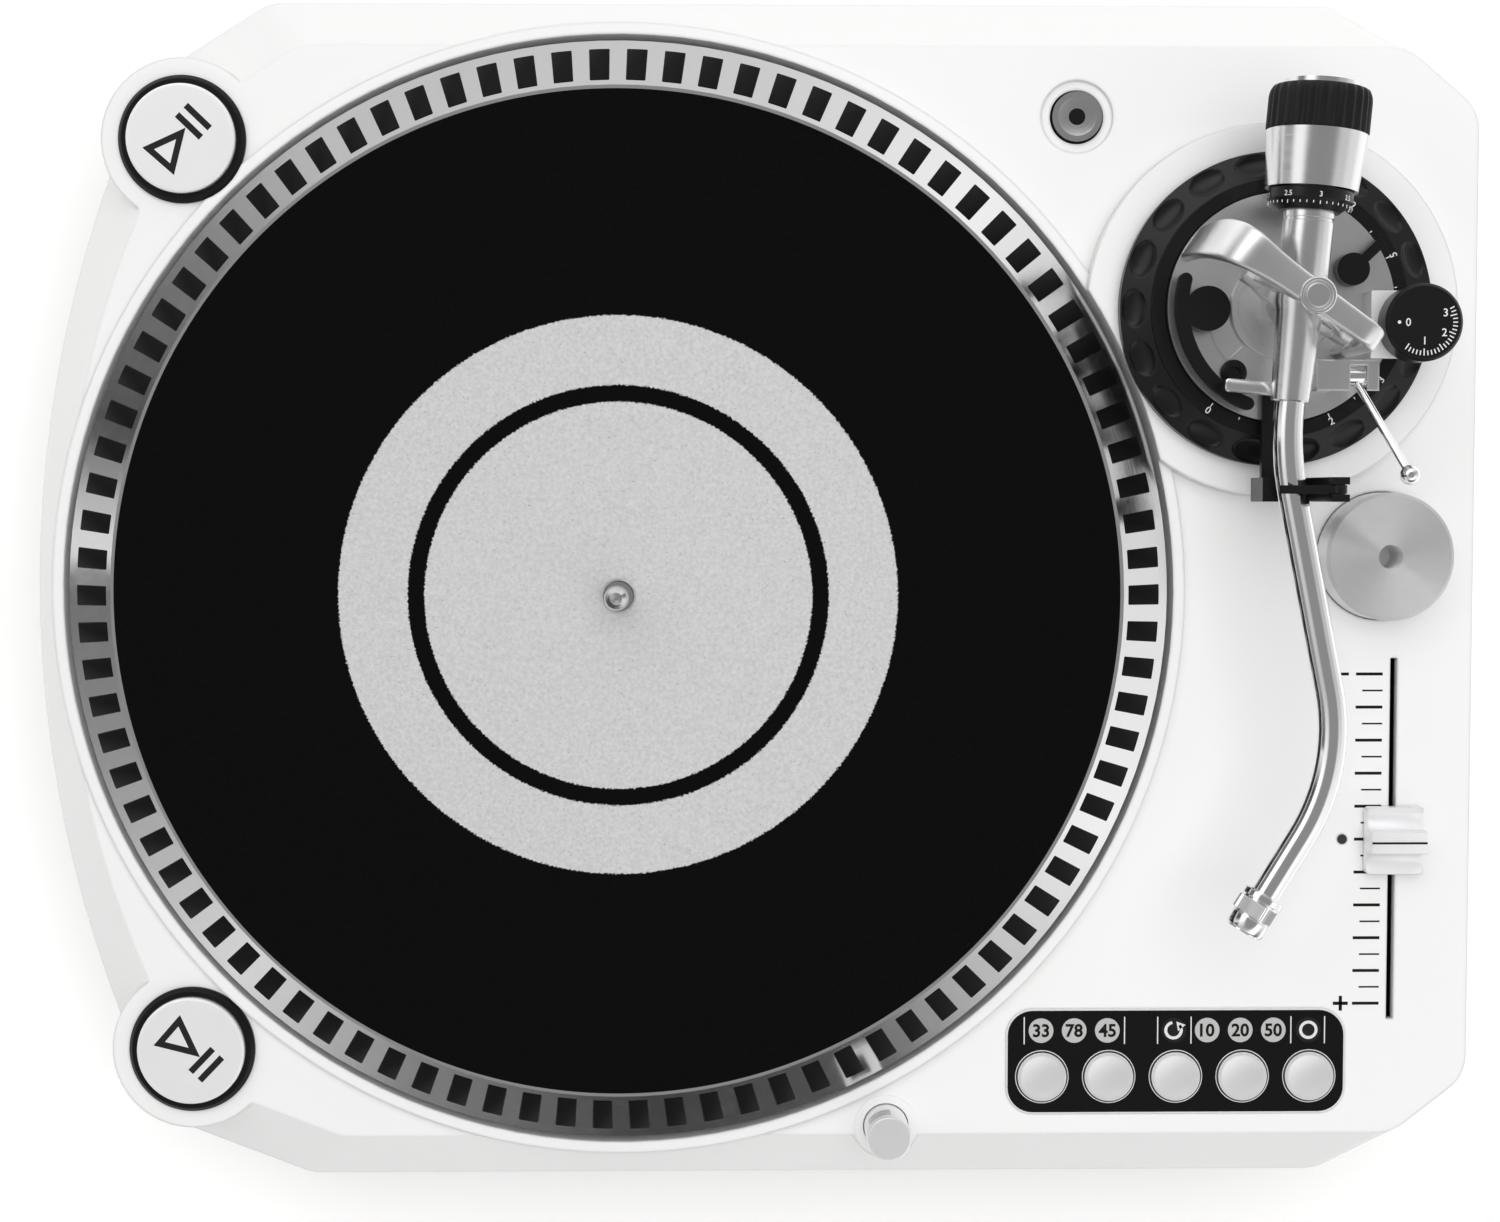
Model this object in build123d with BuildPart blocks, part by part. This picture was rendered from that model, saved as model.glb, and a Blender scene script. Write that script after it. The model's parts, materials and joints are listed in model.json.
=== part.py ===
from build123d import *
import math
import os

# A direct-drive record player, in millimetres, +Z up.
# The origin is at floor level under the middle of the plinth; +X is right, +Y is the rear.

# Heights of the casing, from the floor up
pad_height = 4.0
foot_height = 20.0
tray_height = 22.0
cover_side_height = 30.0
bevel_height = 19.0

# Plan of the plinth
plinth_width = 442.0
plinth_depth = 364.0
bow_depth = 24.4
bevel_left = 12.5
bevel_right = 1.0
bevel_front = 16.5
bevel_rear = 16.0
corner_round = 13.0
rear_corner_run = 73.0
rear_corner_drop = 31.0
bow_shoulder = 19.0
bow_front = 48.0
front_corner_run = 83.0
front_corner_step = 34.0
front_corner_drop = 19.0
rear_cut_run = 40.0
rear_cut_drop = 34.0
front_cut_run = 41.0
front_cut_drop = 32.0
deck_corner_cut = 0.55

# Casing walls
cover_wall = 3.5
tray_wall = 5.0
tray_floor = 4.0
tray_inset = 1.0
cut_over = 1.0

# Feet
foot_radius = 19.0
foot_top_radius = 16.0
pad_radius = 17.5
foot_from_side = 51.0
foot_from_front = 52.0
screw_radius = 2.0
screw_head_radius = 4.0
screw_head_height = 2.5
cover_screw_left = 71.0
cover_screw_right = 11.0
cover_screw_front = 31.0
cover_screw_y = 115.0
cover_screw_grip = 18.0
cover_boss_radius = 6.0

# Platter and its well
platter_x = -40.0
platter_y = 1.0
platter_radius = 165.5
rim_slope_run = 14.7
platter_skirt_wall = 5.0
platter_web = 6.5
platter_skirt_depth = 21.5
platter_slope = 10.0
platter_hub_radius = 18.0
platter_hub_drop = 3.0
mat_edge = 1.3
mat_thickness = 2.0
mat_hole_radius = 4.6
dot_count = 90
dot_length = 12.6
dot_offset = 0.8
dot_corner = 1.6
dot_width = 5.6
dot_depth = 0.6
well_gap = 2.5
well_lip_wall = 3.5
well_lip_rise = 2.0
well_depth = 15.0
well_floor = 3.0
platter_over_well = 8.0

# Spindle and motor
spindle_radius = 3.575
spindle_seat_radius = 4.3
spindle_hole_gap = 0.12
spindle_free_length = 16.5
spindle_tip = 3.5
spindle_tip_shape = ((0.85, 0.45), (0.5, 0.85))
shaft_radius = 5.0
shaft_collar_radius = 9.0
shaft_collar_height = 5.0
shaft_length = 62.0
running_gap = 0.05
thrust_gap = 0.3
bearing_radius = 12.0
bearing_flange_radius = 44.0
bearing_flange = 4.0
motor_opening = 62.0
magnet_outer = 59.0
magnet_inner = 53.0
magnet_height = 21.0
stator_radius = 51.0
stator_height = 15.0
stator_shoulder = 18.0
stator_poles = 12
pole_length = 26.0
pole_width = 6.0
pole_overlap = 2.0
coil_length = 17.0
coil_thickness = 2.5
coil_inset = 1.5
coil_gap = 0.2
motor_screw_circle = 37.0
motor_screw_count = 3

# Start buttons
start_x = -171.0
start_rear_y = 137.5
start_front_y = -138.0
start_boss_radius = 24.5
start_radius = 16.3
start_bezel_radius = 19.1
start_bezel_height = 2.2
start_bezel_wall = 0.7
start_guide_wall = 3.0
start_proud = 4.0
start_skirt = 11.0
start_travel = 2.5
start_edge = 0.8
button_travel_room = 3.0
button_gap = 0.3

# Motor switch
motor_switch_x = 98.0
motor_switch_y = 145.0
motor_switch_radius = 7.5
motor_switch_recess = 10.9
motor_switch_recess_depth = 1.2
motor_switch_gap = 0.6
motor_switch_skirt = 11.0
motor_switch_proud = 0.5
motor_switch_dish = 0.7
dish_radius = 24.0

# Control panel
panel_x = 130.2
panel_y = -143.0
panel_length = 104.0
panel_width = 32.0
panel_corner = 7.9
panel_gap = 0.2
panel_proud = 0.4
panel_thickness = 3.0
panel_button_y = -147.7
panel_button_radius = 7.5
panel_button_pitch = 20.6
panel_button_count = 5
panel_button_proud = 1.0
panel_button_skirt = 10.0
panel_button_dish = 0.9
panel_leg_inset = 5.0
legend_y = -133.4
legend_radius = 3.8
legend_offsets = (-41.5, -31.3, -21.1, -0.5, 9.7, 19.9, 30.1, 40.9)
legend_thickness = 1.5
panel_board_drop = 14.0
board_thickness = 1.6
panel_leg_radius = 2.5
panel_leg_pitches = 1.5

# Stylus lamp
lamp_x = 41.0
lamp_y = -162.7
lamp_radius = 6.7
lamp_rise = 16.0
lamp_below = 13.0
lamp_sleeve_wall = 1.6
lamp_boss_wall = 1.6
lamp_lens_height = 6.0
lamp_lens_width = 7.0
lamp_lens_depth = 2.5
lamp_lens_drop = 3.0
lamp_edge = 0.6
lamp_flange = 0.6

# Pitch fader
fader_x = 196.2
fader_y = -74.5
fader_slot_length = 111.4
fader_slot_width = 2.2
fader_stem_width = 1.6
fader_stem_length = 8.0
fader_cap_x = 17.6
fader_cap_y = 20.5
fader_cap_height = 4.0
fader_ridge_y = 7.0
fader_ridge_height = 4.5
fader_cap_gap = 0.5
fader_body_width = 12.0
fader_body_margin = 7.0
fader_body_height = 10.0
fader_stem_depth = 6.0
fader_stem_clear = 1.0
fader_cap_corner = 2.0
fader_cap_edge = 1.0
fader_lamp_proud = 0.3
fader_lamp_radius = 1.5
fader_lamp_offset = 15.3

# Adapter for large-hole discs
adapter_x = 191.5
adapter_y = 12.4
adapter_radius = 19.3
adapter_height = 14.5
adapter_recess = 2.5
adapter_recess_gap = 0.4
adapter_boss_wall = 3.0
adapter_floor_wall = 2.5
adapter_hole_gap = 0.1
adapter_edge = 1.0

# Arm pivot, height ring and collar
pivot_x = 156.5
pivot_y = 86.5
arm_boss_radius = 56.0
arm_boss_rise = 6.0
ring_radius = 46.8
ring_step_radius = 38.3
ring_height = 9.0
ring_rim_height = 4.0
ring_step = 1.2
ring_seat_gap = 0.3
ring_dimple_count = 18
ring_dimple_radius = 4.2
ring_dimple_circle = 43.2
ring_dimple_depth = 1.4
collar_radius = 34.25
collar_bore = 28.05
collar_flange = 4.0
collar_flange_height = 3.0
collar_below_deck = 10.0
collar_below_ring = 2.5
base_plate_radius = 33.8
base_plate_thickness = 3.5
base_plate_gap = 0.5
base_stem_wall = 4.0
base_stem_below = 8.0

# Arm: the axis of the tube leaves the pivot at arm_angle from straight forwards
arm_over_base = 22.5
arm_angle = 5.2
tilt_axis_angle = -33.0
gimbal_inner = 12.5
gimbal_wall = 3.0
gimbal_width = 6.0
gimbal_boss_radius = 4.5
gimbal_boss_length = 2.5
axle_radius = 2.0
axle_reach = 14.8
pivot_pin_radius = 2.5
pivot_pin_foot = 1.2
top_pin_bore = 2.0
pivot_pillar_radius = 6.0
housing_front = 29.0
housing_rear = 25.0
housing_front_size = 11.0
housing_rear_width = 14.5
housing_rear_height = 13.0
housing_round = 3.0
finger_reach = 18.0
finger_at = 25.4
finger_width = 3.9
finger_thickness = 2.4
finger_drop = 4.5
stub_radius = 7.25
stub_length = 26.0
tube_radius = 4.3
tube_wall = 0.8
tube_bend_one_at = 43.6
tube_bend_two = (14.0, -134.8)
tube_end = (-8.3, -171.4)
tube_bend_one_radius = 90.0
tube_bend_two_radius = 60.0
socket_radius = 5.0
socket_bore = 4.05
socket_length = 12.5
socket_depth = 10.0
lock_collar_radius = 6.4
lock_collar_length = 12.0
lock_collar_flutes = 24
lock_collar_flute = 0.45

# Counterweight and its dial
weight_start = 31.6
weight_barrel_length = 16.2
weight_barrel_front_radius = 13.1
weight_barrel_rear_radius = 14.4
weight_grip_length = 12.8
weight_grip_radius = 14.6
weight_cap_length = 1.7
weight_cap_radius = 10.7
weight_flutes = 40
weight_flute = 0.7
dial_gap = 0.3
dial_length = 5.9
dial_radius = 12.0
dial_small_radius = 8.6

# Bridge over the pivot
bridge_angle = -35.0
bridge_gap = 1.0
bridge_thickness = 3.5
bridge_width = 10.0
bridge_leg_inner = 19.6
bridge_leg = 3.4
bridge_leg_width = 8.0
wing_inner = 26.0
wing_leg = 4.0
wing_overhang = 4.0
wing_width = 24.0
wing_leg_width = 14.0
pivot_screw_radius = 4.9
pivot_screw_height = 1.2
pivot_screw_slot = 1.0

# Anti-skating knob and bracket
skate_x = 37.1
skate_y = -5.7
skate_radius = 11.3
skate_knob_height = 8.7
skate_bracket_width = 19.7
skate_bracket_start = 24.0
skate_bracket_height = 7.0
skate_bracket_thickness = 3.0
skate_pin_radius = 2.5
skate_knob_edge = 0.8

# Cue lever and lift
cue_radius = 31.0
cue_width = 3.8
cue_start_angle = 166.0
cue_end_angle = 248.0
cue_over_base = 5.5
cue_thickness = 3.0
cue_post_x = -23.5
cue_post_y = -1.0
cue_post_radius = 3.0
cue_lobe_radius = 6.6
cue_post_length = 9.0
cue_lever_x = 20.2
cue_lever_y = -20.5
cue_lever_over_base = 4.5
cue_ball_x = 33.8
cue_ball_y = -49.7
cue_ball_rise = 13.0
cue_ball_radius = 2.9
cue_rod_radius = 1.2
cue_barrel_radius = 3.0
cue_pin_radius = 1.5
cue_ear_inner = 4.0
cue_ear = 2.0
cue_ear_reach = 3.2

# Height lock lever
lock_x = 20.1
lock_y = 10.9
lock_radius = 4.8
lock_reach = 12.0
lock_arm_width = 3.0
lock_angle = 44.0
lock_height = 4.5
lock_pin_radius = 2.0
lock_pin_length = 3.0

# Arm rest and its clip, measured from the pivot
rest_y = -54.0
rest_depth = 7.0
rest_bar_width = 12.0
rest_bar_thickness = 2.5
rest_bar_start = 24.0
rest_left_x = -8.6
rest_left_width = 6.6
rest_right_x = 6.4
rest_right_width = 5.0
rest_below_tube = 2.7
clip_over_tube = 5.9
clip_thickness = 2.0
clip_width = 2.4
clip_barrel_radius = 2.3
clip_pin_radius = 1.0
clip_overhang = 17.2
clip_gap = 0.2

# Rear connections
rear_x = 40.0
rear_length = 126.0
rear_height = 26.0
rear_above_seam = 0.5
rear_wall = 2.0
rear_depth = 10.0
rca_radius = 4.15
rca_length = 8.0
rca_pitch = 16.0
rca_from_middle = 46.0
rca_bore = 1.7
rca_bore_depth = 6.0
ground_radius = 3.5
ground_length = 7.0
ground_neck_radius = 2.1
ground_neck_length = 2.8
ground_from_middle = 12.0
usb_width = 12.0
usb_height = 10.8
usb_from_middle = -4.0
usb_wall = 1.2
usb_depth = 13.0
inlet_width = 27.0
inlet_height = 19.5
inlet_from_middle = -42.0
inlet_wall = 2.0
inlet_depth = 16.0
socket_floor = 2.0
pin_blade_width = 2.0
pin_blade_height = 4.0
pin_blade_length = 11.0
inlet_pin_pitch = 7.0
inlet_pin_rise = 4.0
line_switch_from_middle = 24.0
line_switch_size = 5.0
line_switch_travel = 4.0
line_switch_gap = 0.3
line_switch_stem = 3.0
line_switch_proud = 3.0

# Boards and transformer
board_post_radius = 4.0
board_post_height = 6.0
board_hole_inset = 8.0
main_board_x = 95.0
main_board_y = 40.0
main_board_length = 110.0
main_board_width = 80.0
power_board_x = 60.0
power_board_y = 133.0
power_board_length = 90.0
power_board_width = 60.0
transformer_x = 130.0
transformer_y = -70.0
transformer_radius = 36.0
transformer_hole = 9.0
transformer_height = 32.0
transformer_round = 6.0
chip_size = 20.0
chip_offset = 25.0
chip_height = 3.0
capacitor_radius = 3.5
capacitor_height = 10.0
capacitor_offset = 16.0
capacitor_pitch = 12.0
capacitor_rows_apart = 22.0
capacitor_columns = 3
capacitor_rows = 2

# Levels worked out from the sizes above
tray_bottom = pad_height + foot_height
seam = tray_bottom + tray_height
shoulder = seam + cover_side_height
deck = shoulder + bevel_height
deck_under = deck - cover_wall
tray_top_of_floor = tray_bottom + tray_floor
well_bottom = deck - well_depth
platter_top_radius = platter_radius - rim_slope_run
mat_radius = platter_top_radius - mat_edge
well_radius = platter_radius + well_gap
lip_radius = well_radius + well_lip_wall
platter_bottom = well_bottom + platter_over_well
platter_top = platter_bottom + platter_skirt_depth
web_under = platter_top - platter_web
mat_top = platter_top + mat_thickness
boss_top = deck + arm_boss_rise
ring_bottom = boss_top + ring_seat_gap
ring_top = ring_bottom + ring_height
collar_top = ring_top - collar_below_ring
base_bottom = collar_top + base_plate_gap
base_top = base_bottom + base_plate_thickness
arm_z = base_top + arm_over_base
gimbal_outer = gimbal_inner + gimbal_wall
bridge_under = arm_z + gimbal_outer + bridge_gap
bridge_top = bridge_under + bridge_thickness

half_width = plinth_width / 2
half_depth = plinth_depth / 2

# Directions of the arm and of its tilt axis, in plan
arm_back = Vector(math.sin(math.radians(arm_angle)), math.cos(math.radians(arm_angle)), 0)
arm_side = Vector(arm_back.Y, -arm_back.X, 0)
tilt_dir = Vector(math.cos(math.radians(tilt_axis_angle)), math.sin(math.radians(tilt_axis_angle)), 0)
arm_pivot = Vector(pivot_x, pivot_y, arm_z)
up = Vector(0, 0, 1)

UPRIGHT = (Align.CENTER, Align.CENTER, Align.MIN)


# Shapes used again and again; each works on the part that is being built

def post(x, y, radius, low, high, mode=Mode.ADD):
    """Upright cylinder between two levels."""
    with Locations((x, y, low)):
        Cylinder(radius, high - low, align=UPRIGHT, mode=mode)


def block(x, y, size_x, size_y, low, high, mode=Mode.ADD):
    """Upright box between two levels, centred on x, y."""
    with Locations((x, y, low)):
        Box(size_x, size_y, high - low, align=UPRIGHT, mode=mode)


def rounded_block(x, y, size_x, size_y, corner, low, high, mode=Mode.ADD):
    """Upright box with rounded corners in plan."""
    with BuildSketch(Plane.XY.offset(low)) as plan:
        with Locations((x, y)):
            RectangleRounded(size_x, size_y, corner)
    extrude(plan.sketch, amount=high - low, mode=mode)


def turned(origin, direction, profile, mode=Mode.ADD):
    """Solid of revolution; profile points are (radius, distance along the axis)."""
    outward = Vector(1, 0, 0) if abs(direction.Z) > 0.5 else up
    section = Plane(origin=origin, x_dir=outward, z_dir=outward.cross(direction))
    with BuildSketch(section) as half:
        with BuildLine():
            Polyline(*profile, close=True)
        make_face()
    revolve(half.sketch, axis=Axis(origin, direction), mode=mode)


def rod(start, direction, radius, length, mode=Mode.ADD):
    """Cylinder from a point along a direction."""
    with BuildSketch(Plane(origin=start, z_dir=direction)) as end:
        Circle(radius)
    extrude(end.sketch, amount=length, mode=mode)


def save(builder, name):
    """Label a finished piece and write it under its own name."""
    builder.part.label = name
    export_step(builder.part, f"parts/{name}.step")


def plinth_plan(level, inset, bevelled):
    """Plan of the plinth at a level, drawn in by inset: bowed left side and cut corners.

    bevelled gives the smaller plan of the deck, with smaller cuts at its right-hand corners.
    """
    left, right, front, rear = (bevel_left, bevel_right, bevel_front, bevel_rear) if bevelled else (0, 0,
                                                                                                    0, 0)
    cut = deck_corner_cut if bevelled else 1
    west = left - half_width + inset
    east = half_width - right - inset
    south = front - half_depth + inset
    north = half_depth - rear - inset
    with BuildSketch(Plane.XY.offset(level)) as plan:
        with BuildLine():
            Polyline(
                (west + bow_depth, north - rear_corner_drop - bow_shoulder),
                (west + bow_depth, north - rear_corner_drop),
                (west + rear_corner_run, north),
                (east - rear_cut_run * cut, north),
                (east, north - rear_cut_drop * cut),
                (east, south + front_cut_drop * cut),
                (east - front_cut_run * cut, south),
                (west + front_corner_run, south),
                (west + front_corner_step, south + front_corner_drop),
                (west + bow_depth, south + bow_front),
            )
            ThreePointArc(
                (west + bow_depth, south + bow_front),
                (west, (south + north) / 2),
                (west + bow_depth, north - rear_corner_drop - bow_shoulder),
            )
        make_face()
        fillet(plan.vertices(), corner_round)
    return plan.sketch.face()


def plinth_block(inset, top_drop, mode=Mode.ADD):
    """Straight sides from the seam to the shoulder, then the bevel up to the deck."""
    bend = shoulder - top_drop
    extrude(plinth_plan(seam, inset, False), amount=bend - seam, dir=(0, 0, 1), mode=mode)
    loft([plinth_plan(bend, inset, False), plinth_plan(deck - top_drop, inset, True)], ruled=True, mode=mode)


os.makedirs("parts", exist_ok=True)

start_places = {"rear": start_rear_y, "front": start_front_y}
panel_button_xs = [
    panel_x + (i - (panel_button_count - 1) / 2) * panel_button_pitch for i in range(panel_button_count)
]
foot_places = [
    (side * (half_width - foot_from_side), end * (half_depth - foot_from_front))
    for side in (-1, 1)
    for end in (-1, 1)
]
start_hole = start_radius + button_gap + start_bezel_wall
lamp_hole = lamp_radius + button_gap + lamp_sleeve_wall
rear_low = seam + rear_above_seam
rear_mid = rear_low + rear_height / 2
rear_inner_wall = half_depth - cover_wall
rear_face = rear_inner_wall - rear_depth + rear_wall
adapter_floor = deck - adapter_recess

cover_screw_places = [
    (-half_width + cover_screw_left, -half_depth + cover_screw_front),
    (-half_width + cover_screw_left, half_depth - cover_screw_front),
    (half_width - cover_screw_right, -cover_screw_y),
    (half_width - cover_screw_right, cover_screw_y),
]

# Top cover: a shell with the platter well, the arm boss and every opening of the deck
with BuildPart() as top_cover:
    plinth_block(0, 0)
    for y in start_places.values():
        post(start_x, y, start_boss_radius, shoulder, deck)
    post(lamp_x, lamp_y, lamp_hole + lamp_boss_wall, shoulder, deck)
    plinth_block(cover_wall, cover_wall, Mode.SUBTRACT)
    post(platter_x, platter_y, lip_radius, well_bottom - well_floor, deck + well_lip_rise)
    post(pivot_x, pivot_y, arm_boss_radius, deck_under, boss_top)
    post(adapter_x, adapter_y, adapter_radius + adapter_boss_wall, adapter_floor - adapter_floor_wall, deck)
    for y in start_places.values():
        post(start_x, y, start_hole + start_guide_wall, deck - start_skirt, deck)
    post(lamp_x, lamp_y, lamp_hole + lamp_boss_wall, deck - lamp_below, deck)
    for x, y in cover_screw_places:
        post(x, y, cover_boss_radius, seam, deck_under)
        post(x, y, screw_radius + running_gap, seam, seam + cover_screw_grip + cut_over, Mode.SUBTRACT)
    post(platter_x, platter_y, well_radius, well_bottom, boss_top + cut_over, Mode.SUBTRACT)
    post(platter_x, platter_y, motor_opening, well_bottom - well_floor - cut_over, deck, Mode.SUBTRACT)
    post(pivot_x, pivot_y, collar_radius + running_gap, deck_under - cut_over, boss_top + cut_over,
         Mode.SUBTRACT)
    post(adapter_x, adapter_y, adapter_radius + adapter_recess_gap, adapter_floor, deck + cut_over,
         Mode.SUBTRACT)
    for y in start_places.values():
        post(start_x, y, start_hole, deck - start_skirt - start_travel, deck + cut_over, Mode.SUBTRACT)
    post(lamp_x, lamp_y, lamp_hole, seam, deck + lamp_rise, Mode.SUBTRACT)
    for y in start_places.values():
        post(start_x, y, start_bezel_radius + button_gap, deck, boss_top, Mode.SUBTRACT)
    post(motor_switch_x, motor_switch_y, motor_switch_recess, deck - motor_switch_recess_depth,
         deck + cut_over,
         Mode.SUBTRACT)
    post(motor_switch_x, motor_switch_y, motor_switch_radius + motor_switch_gap, deck_under - cut_over, deck,
         Mode.SUBTRACT)
    rounded_block(panel_x, panel_y, panel_length + 2 * panel_gap, panel_width + 2 * panel_gap,
                  panel_corner + panel_gap, deck_under - cut_over, deck + cut_over, Mode.SUBTRACT)
    block(fader_x, fader_y, fader_slot_width, fader_slot_length, deck_under - cut_over, deck + cut_over,
          Mode.SUBTRACT)
    post(fader_x - fader_lamp_offset, fader_y, fader_lamp_radius, deck_under - cut_over, deck + cut_over,
         Mode.SUBTRACT)
    block(rear_x, half_depth, rear_length - 2 * rear_wall, 2 * (cover_wall + cut_over), rear_low + rear_wall,
          rear_low + rear_height - rear_wall, Mode.SUBTRACT)
save(top_cover, "top_cover")

board_sizes = {
    "main_board": (main_board_x, main_board_y, main_board_length, main_board_width),
    "power_board": (power_board_x, power_board_y, power_board_length, power_board_width),
}


def board_corners(x, y, length, width):
    """Places of a board's four posts."""
    return [
        (x + side * (length / 2 - board_hole_inset), y + end * (width / 2 - board_hole_inset))
        for side in (-1, 1)
        for end in (-1, 1)
    ]


# Base tray: floor and walls, with posts for the cover screws and the boards
board_level = tray_top_of_floor + board_post_height
with BuildPart() as base_tray:
    extrude(plinth_plan(tray_bottom, tray_inset, False), amount=tray_height, dir=(0, 0, 1))
    extrude(plinth_plan(tray_top_of_floor, tray_inset + tray_wall, False), amount=tray_height, dir=(0, 0, 1),
            mode=Mode.SUBTRACT)
    for x, y in cover_screw_places:
        post(x, y, cover_boss_radius, tray_bottom, seam)
        post(x, y, screw_radius + running_gap, tray_bottom, seam, Mode.SUBTRACT)
        post(x, y, screw_head_radius + running_gap, tray_bottom, tray_bottom + screw_head_height,
             Mode.SUBTRACT)
    for size in board_sizes.values():
        for x, y in board_corners(*size):
            post(x, y, board_post_radius, tray_bottom, board_level)
    with Locations((platter_x, platter_y)):
        with PolarLocations(motor_screw_circle, motor_screw_count):
            with Locations((0, 0, tray_bottom + tray_floor / 2)):
                Cylinder(screw_radius + running_gap, tray_floor, align=UPRIGHT, mode=Mode.SUBTRACT)
save(base_tray, "base_tray")

with BuildPart() as cover_screws:
    for x, y in cover_screw_places:
        post(x, y, screw_head_radius, tray_bottom, tray_bottom + screw_head_height)
        post(x, y, screw_radius, tray_bottom + screw_head_height, seam + cover_screw_grip)
save(cover_screws, "cover_screws")

with BuildPart() as feet:
    for x, y in foot_places:
        turned((x, y, 0), up, [
            (0, pad_height), (foot_radius, pad_height), (foot_radius, pad_height + foot_height / 2),
            (foot_top_radius, tray_bottom), (0, tray_bottom),
        ])
save(feet, "feet")

with BuildPart() as foot_pads:
    for x, y in foot_places:
        post(x, y, pad_radius, 0, pad_height)
save(foot_pads, "foot_pads")

# Platter with its strobe marks, mat and spindle
platter_axis = (platter_x, platter_y, 0)
hub_bottom = web_under - platter_hub_drop
slope_length = math.hypot(rim_slope_run, platter_slope)
slope_drop_inside = platter_slope * (rim_slope_run - platter_skirt_wall) / rim_slope_run
slope_down = Vector(rim_slope_run / slope_length, 0, -platter_slope / slope_length)
slope_normal = Vector(platter_slope / slope_length, 0, rim_slope_run / slope_length)
slope_middle = Vector((platter_radius + platter_top_radius) / 2, 0, platter_top - platter_slope / 2)

with BuildPart() as strobe_mark:
    with BuildSketch(Plane(origin=slope_middle, x_dir=slope_down, z_dir=slope_normal)):
        with Locations((-dot_offset, 0)):
            RectangleRounded(dot_length, dot_width, dot_corner)
    extrude(amount=dot_depth, both=True)

with BuildPart() as platter:
    turned(platter_axis, up, [
        (spindle_seat_radius + spindle_hole_gap, hub_bottom),
        (platter_hub_radius, hub_bottom),
        (platter_hub_radius, web_under),
        (platter_top_radius, web_under),
        (platter_radius - platter_skirt_wall, web_under - slope_drop_inside),
        (platter_radius - platter_skirt_wall, platter_bottom),
        (platter_radius, platter_bottom),
        (platter_radius, platter_top - platter_slope),
        (platter_top_radius, platter_top),
        (spindle_seat_radius + spindle_hole_gap, platter_top),
    ])
    with Locations(platter_axis):
        with PolarLocations(0, dot_count):
            add(strobe_mark.part, mode=Mode.SUBTRACT)
save(platter, "platter")

with BuildPart() as slipmat:
    post(platter_x, platter_y, mat_radius, platter_top, mat_top)
    post(platter_x, platter_y, mat_hole_radius, platter_top, mat_top, Mode.SUBTRACT)
save(slipmat, "slipmat")

shaft_top = hub_bottom - shaft_collar_height
shaft_bottom = shaft_top - shaft_length
tip_start = mat_top + spindle_free_length
with BuildPart() as spindle:
    turned(platter_axis, up, [
        (0, shaft_bottom),
        (shaft_radius, shaft_bottom),
        (shaft_radius, shaft_top),
        (shaft_collar_radius, shaft_top),
        (shaft_collar_radius, hub_bottom),
        (spindle_seat_radius, hub_bottom),
        (spindle_seat_radius, mat_top),
        (spindle_radius, mat_top),
        (spindle_radius, tip_start),
        *[(spindle_radius * across, tip_start + spindle_tip * along) for across, along in spindle_tip_shape],
        (0, tip_start + spindle_tip),
    ])
save(spindle, "spindle")

with BuildPart() as rotor_magnet:
    post(platter_x, platter_y, magnet_outer, web_under - magnet_height, web_under)
    post(platter_x, platter_y, magnet_inner, web_under - magnet_height, web_under, Mode.SUBTRACT)
save(rotor_magnet, "rotor_magnet")

# Motor: bearing housing on the tray, stator core with wound poles
stator_bottom = shaft_top - thrust_gap - stator_height
with BuildPart() as bearing_housing:
    turned(platter_axis, up, [
        (0, tray_top_of_floor),
        (bearing_flange_radius, tray_top_of_floor),
        (bearing_flange_radius, tray_top_of_floor + bearing_flange),
        (stator_shoulder, tray_top_of_floor + bearing_flange),
        (stator_shoulder, stator_bottom),
        (bearing_radius, stator_bottom),
        (bearing_radius, shaft_top - thrust_gap),
        (shaft_radius + running_gap, shaft_top - thrust_gap),
        (shaft_radius + running_gap, shaft_bottom - thrust_gap),
        (0, shaft_bottom - thrust_gap),
    ])
    with Locations((platter_x, platter_y, tray_top_of_floor)):
        with PolarLocations(motor_screw_circle, motor_screw_count):
            Cylinder(screw_radius + running_gap, bearing_flange, align=UPRIGHT, mode=Mode.SUBTRACT)
save(bearing_housing, "bearing_housing")

with BuildPart() as motor_screws:
    with Locations((platter_x, platter_y, 0)):
        with PolarLocations(motor_screw_circle, motor_screw_count):
            with Locations((0, 0, tray_top_of_floor + bearing_flange)):
                Cylinder(screw_head_radius, screw_head_height, align=UPRIGHT)
            with Locations((0, 0, tray_bottom + tray_floor / 2)):
                Cylinder(screw_radius, tray_floor / 2 + bearing_flange, align=UPRIGHT)
save(motor_screws, "motor_screws")

pole_inner = stator_radius - pole_length
with BuildPart() as stator_core:
    post(platter_x, platter_y, pole_inner, stator_bottom, stator_bottom + stator_height)
    with Locations((platter_x, platter_y, stator_bottom)):
        with PolarLocations(stator_radius - pole_length / 2, stator_poles):
            Box(pole_length + pole_overlap, pole_width, stator_height, align=UPRIGHT)
    post(platter_x, platter_y, bearing_radius + button_gap, stator_bottom, stator_bottom + stator_height,
         Mode.SUBTRACT)
save(stator_core, "stator_core")

with BuildPart() as stator_coils:
    with Locations((platter_x, platter_y, stator_bottom + coil_inset)):
        with PolarLocations(pole_inner + coil_length / 2 + coil_gap, stator_poles):
            Box(coil_length, pole_width + 2 * coil_thickness, stator_height - 2 * coil_inset, align=UPRIGHT)
        with PolarLocations(pole_inner + coil_length / 2 + coil_gap, stator_poles):
            Box(2 * coil_length, pole_width + 2 * coil_gap, stator_height, align=UPRIGHT, mode=Mode.SUBTRACT)
save(stator_coils, "stator_coils")

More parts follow.
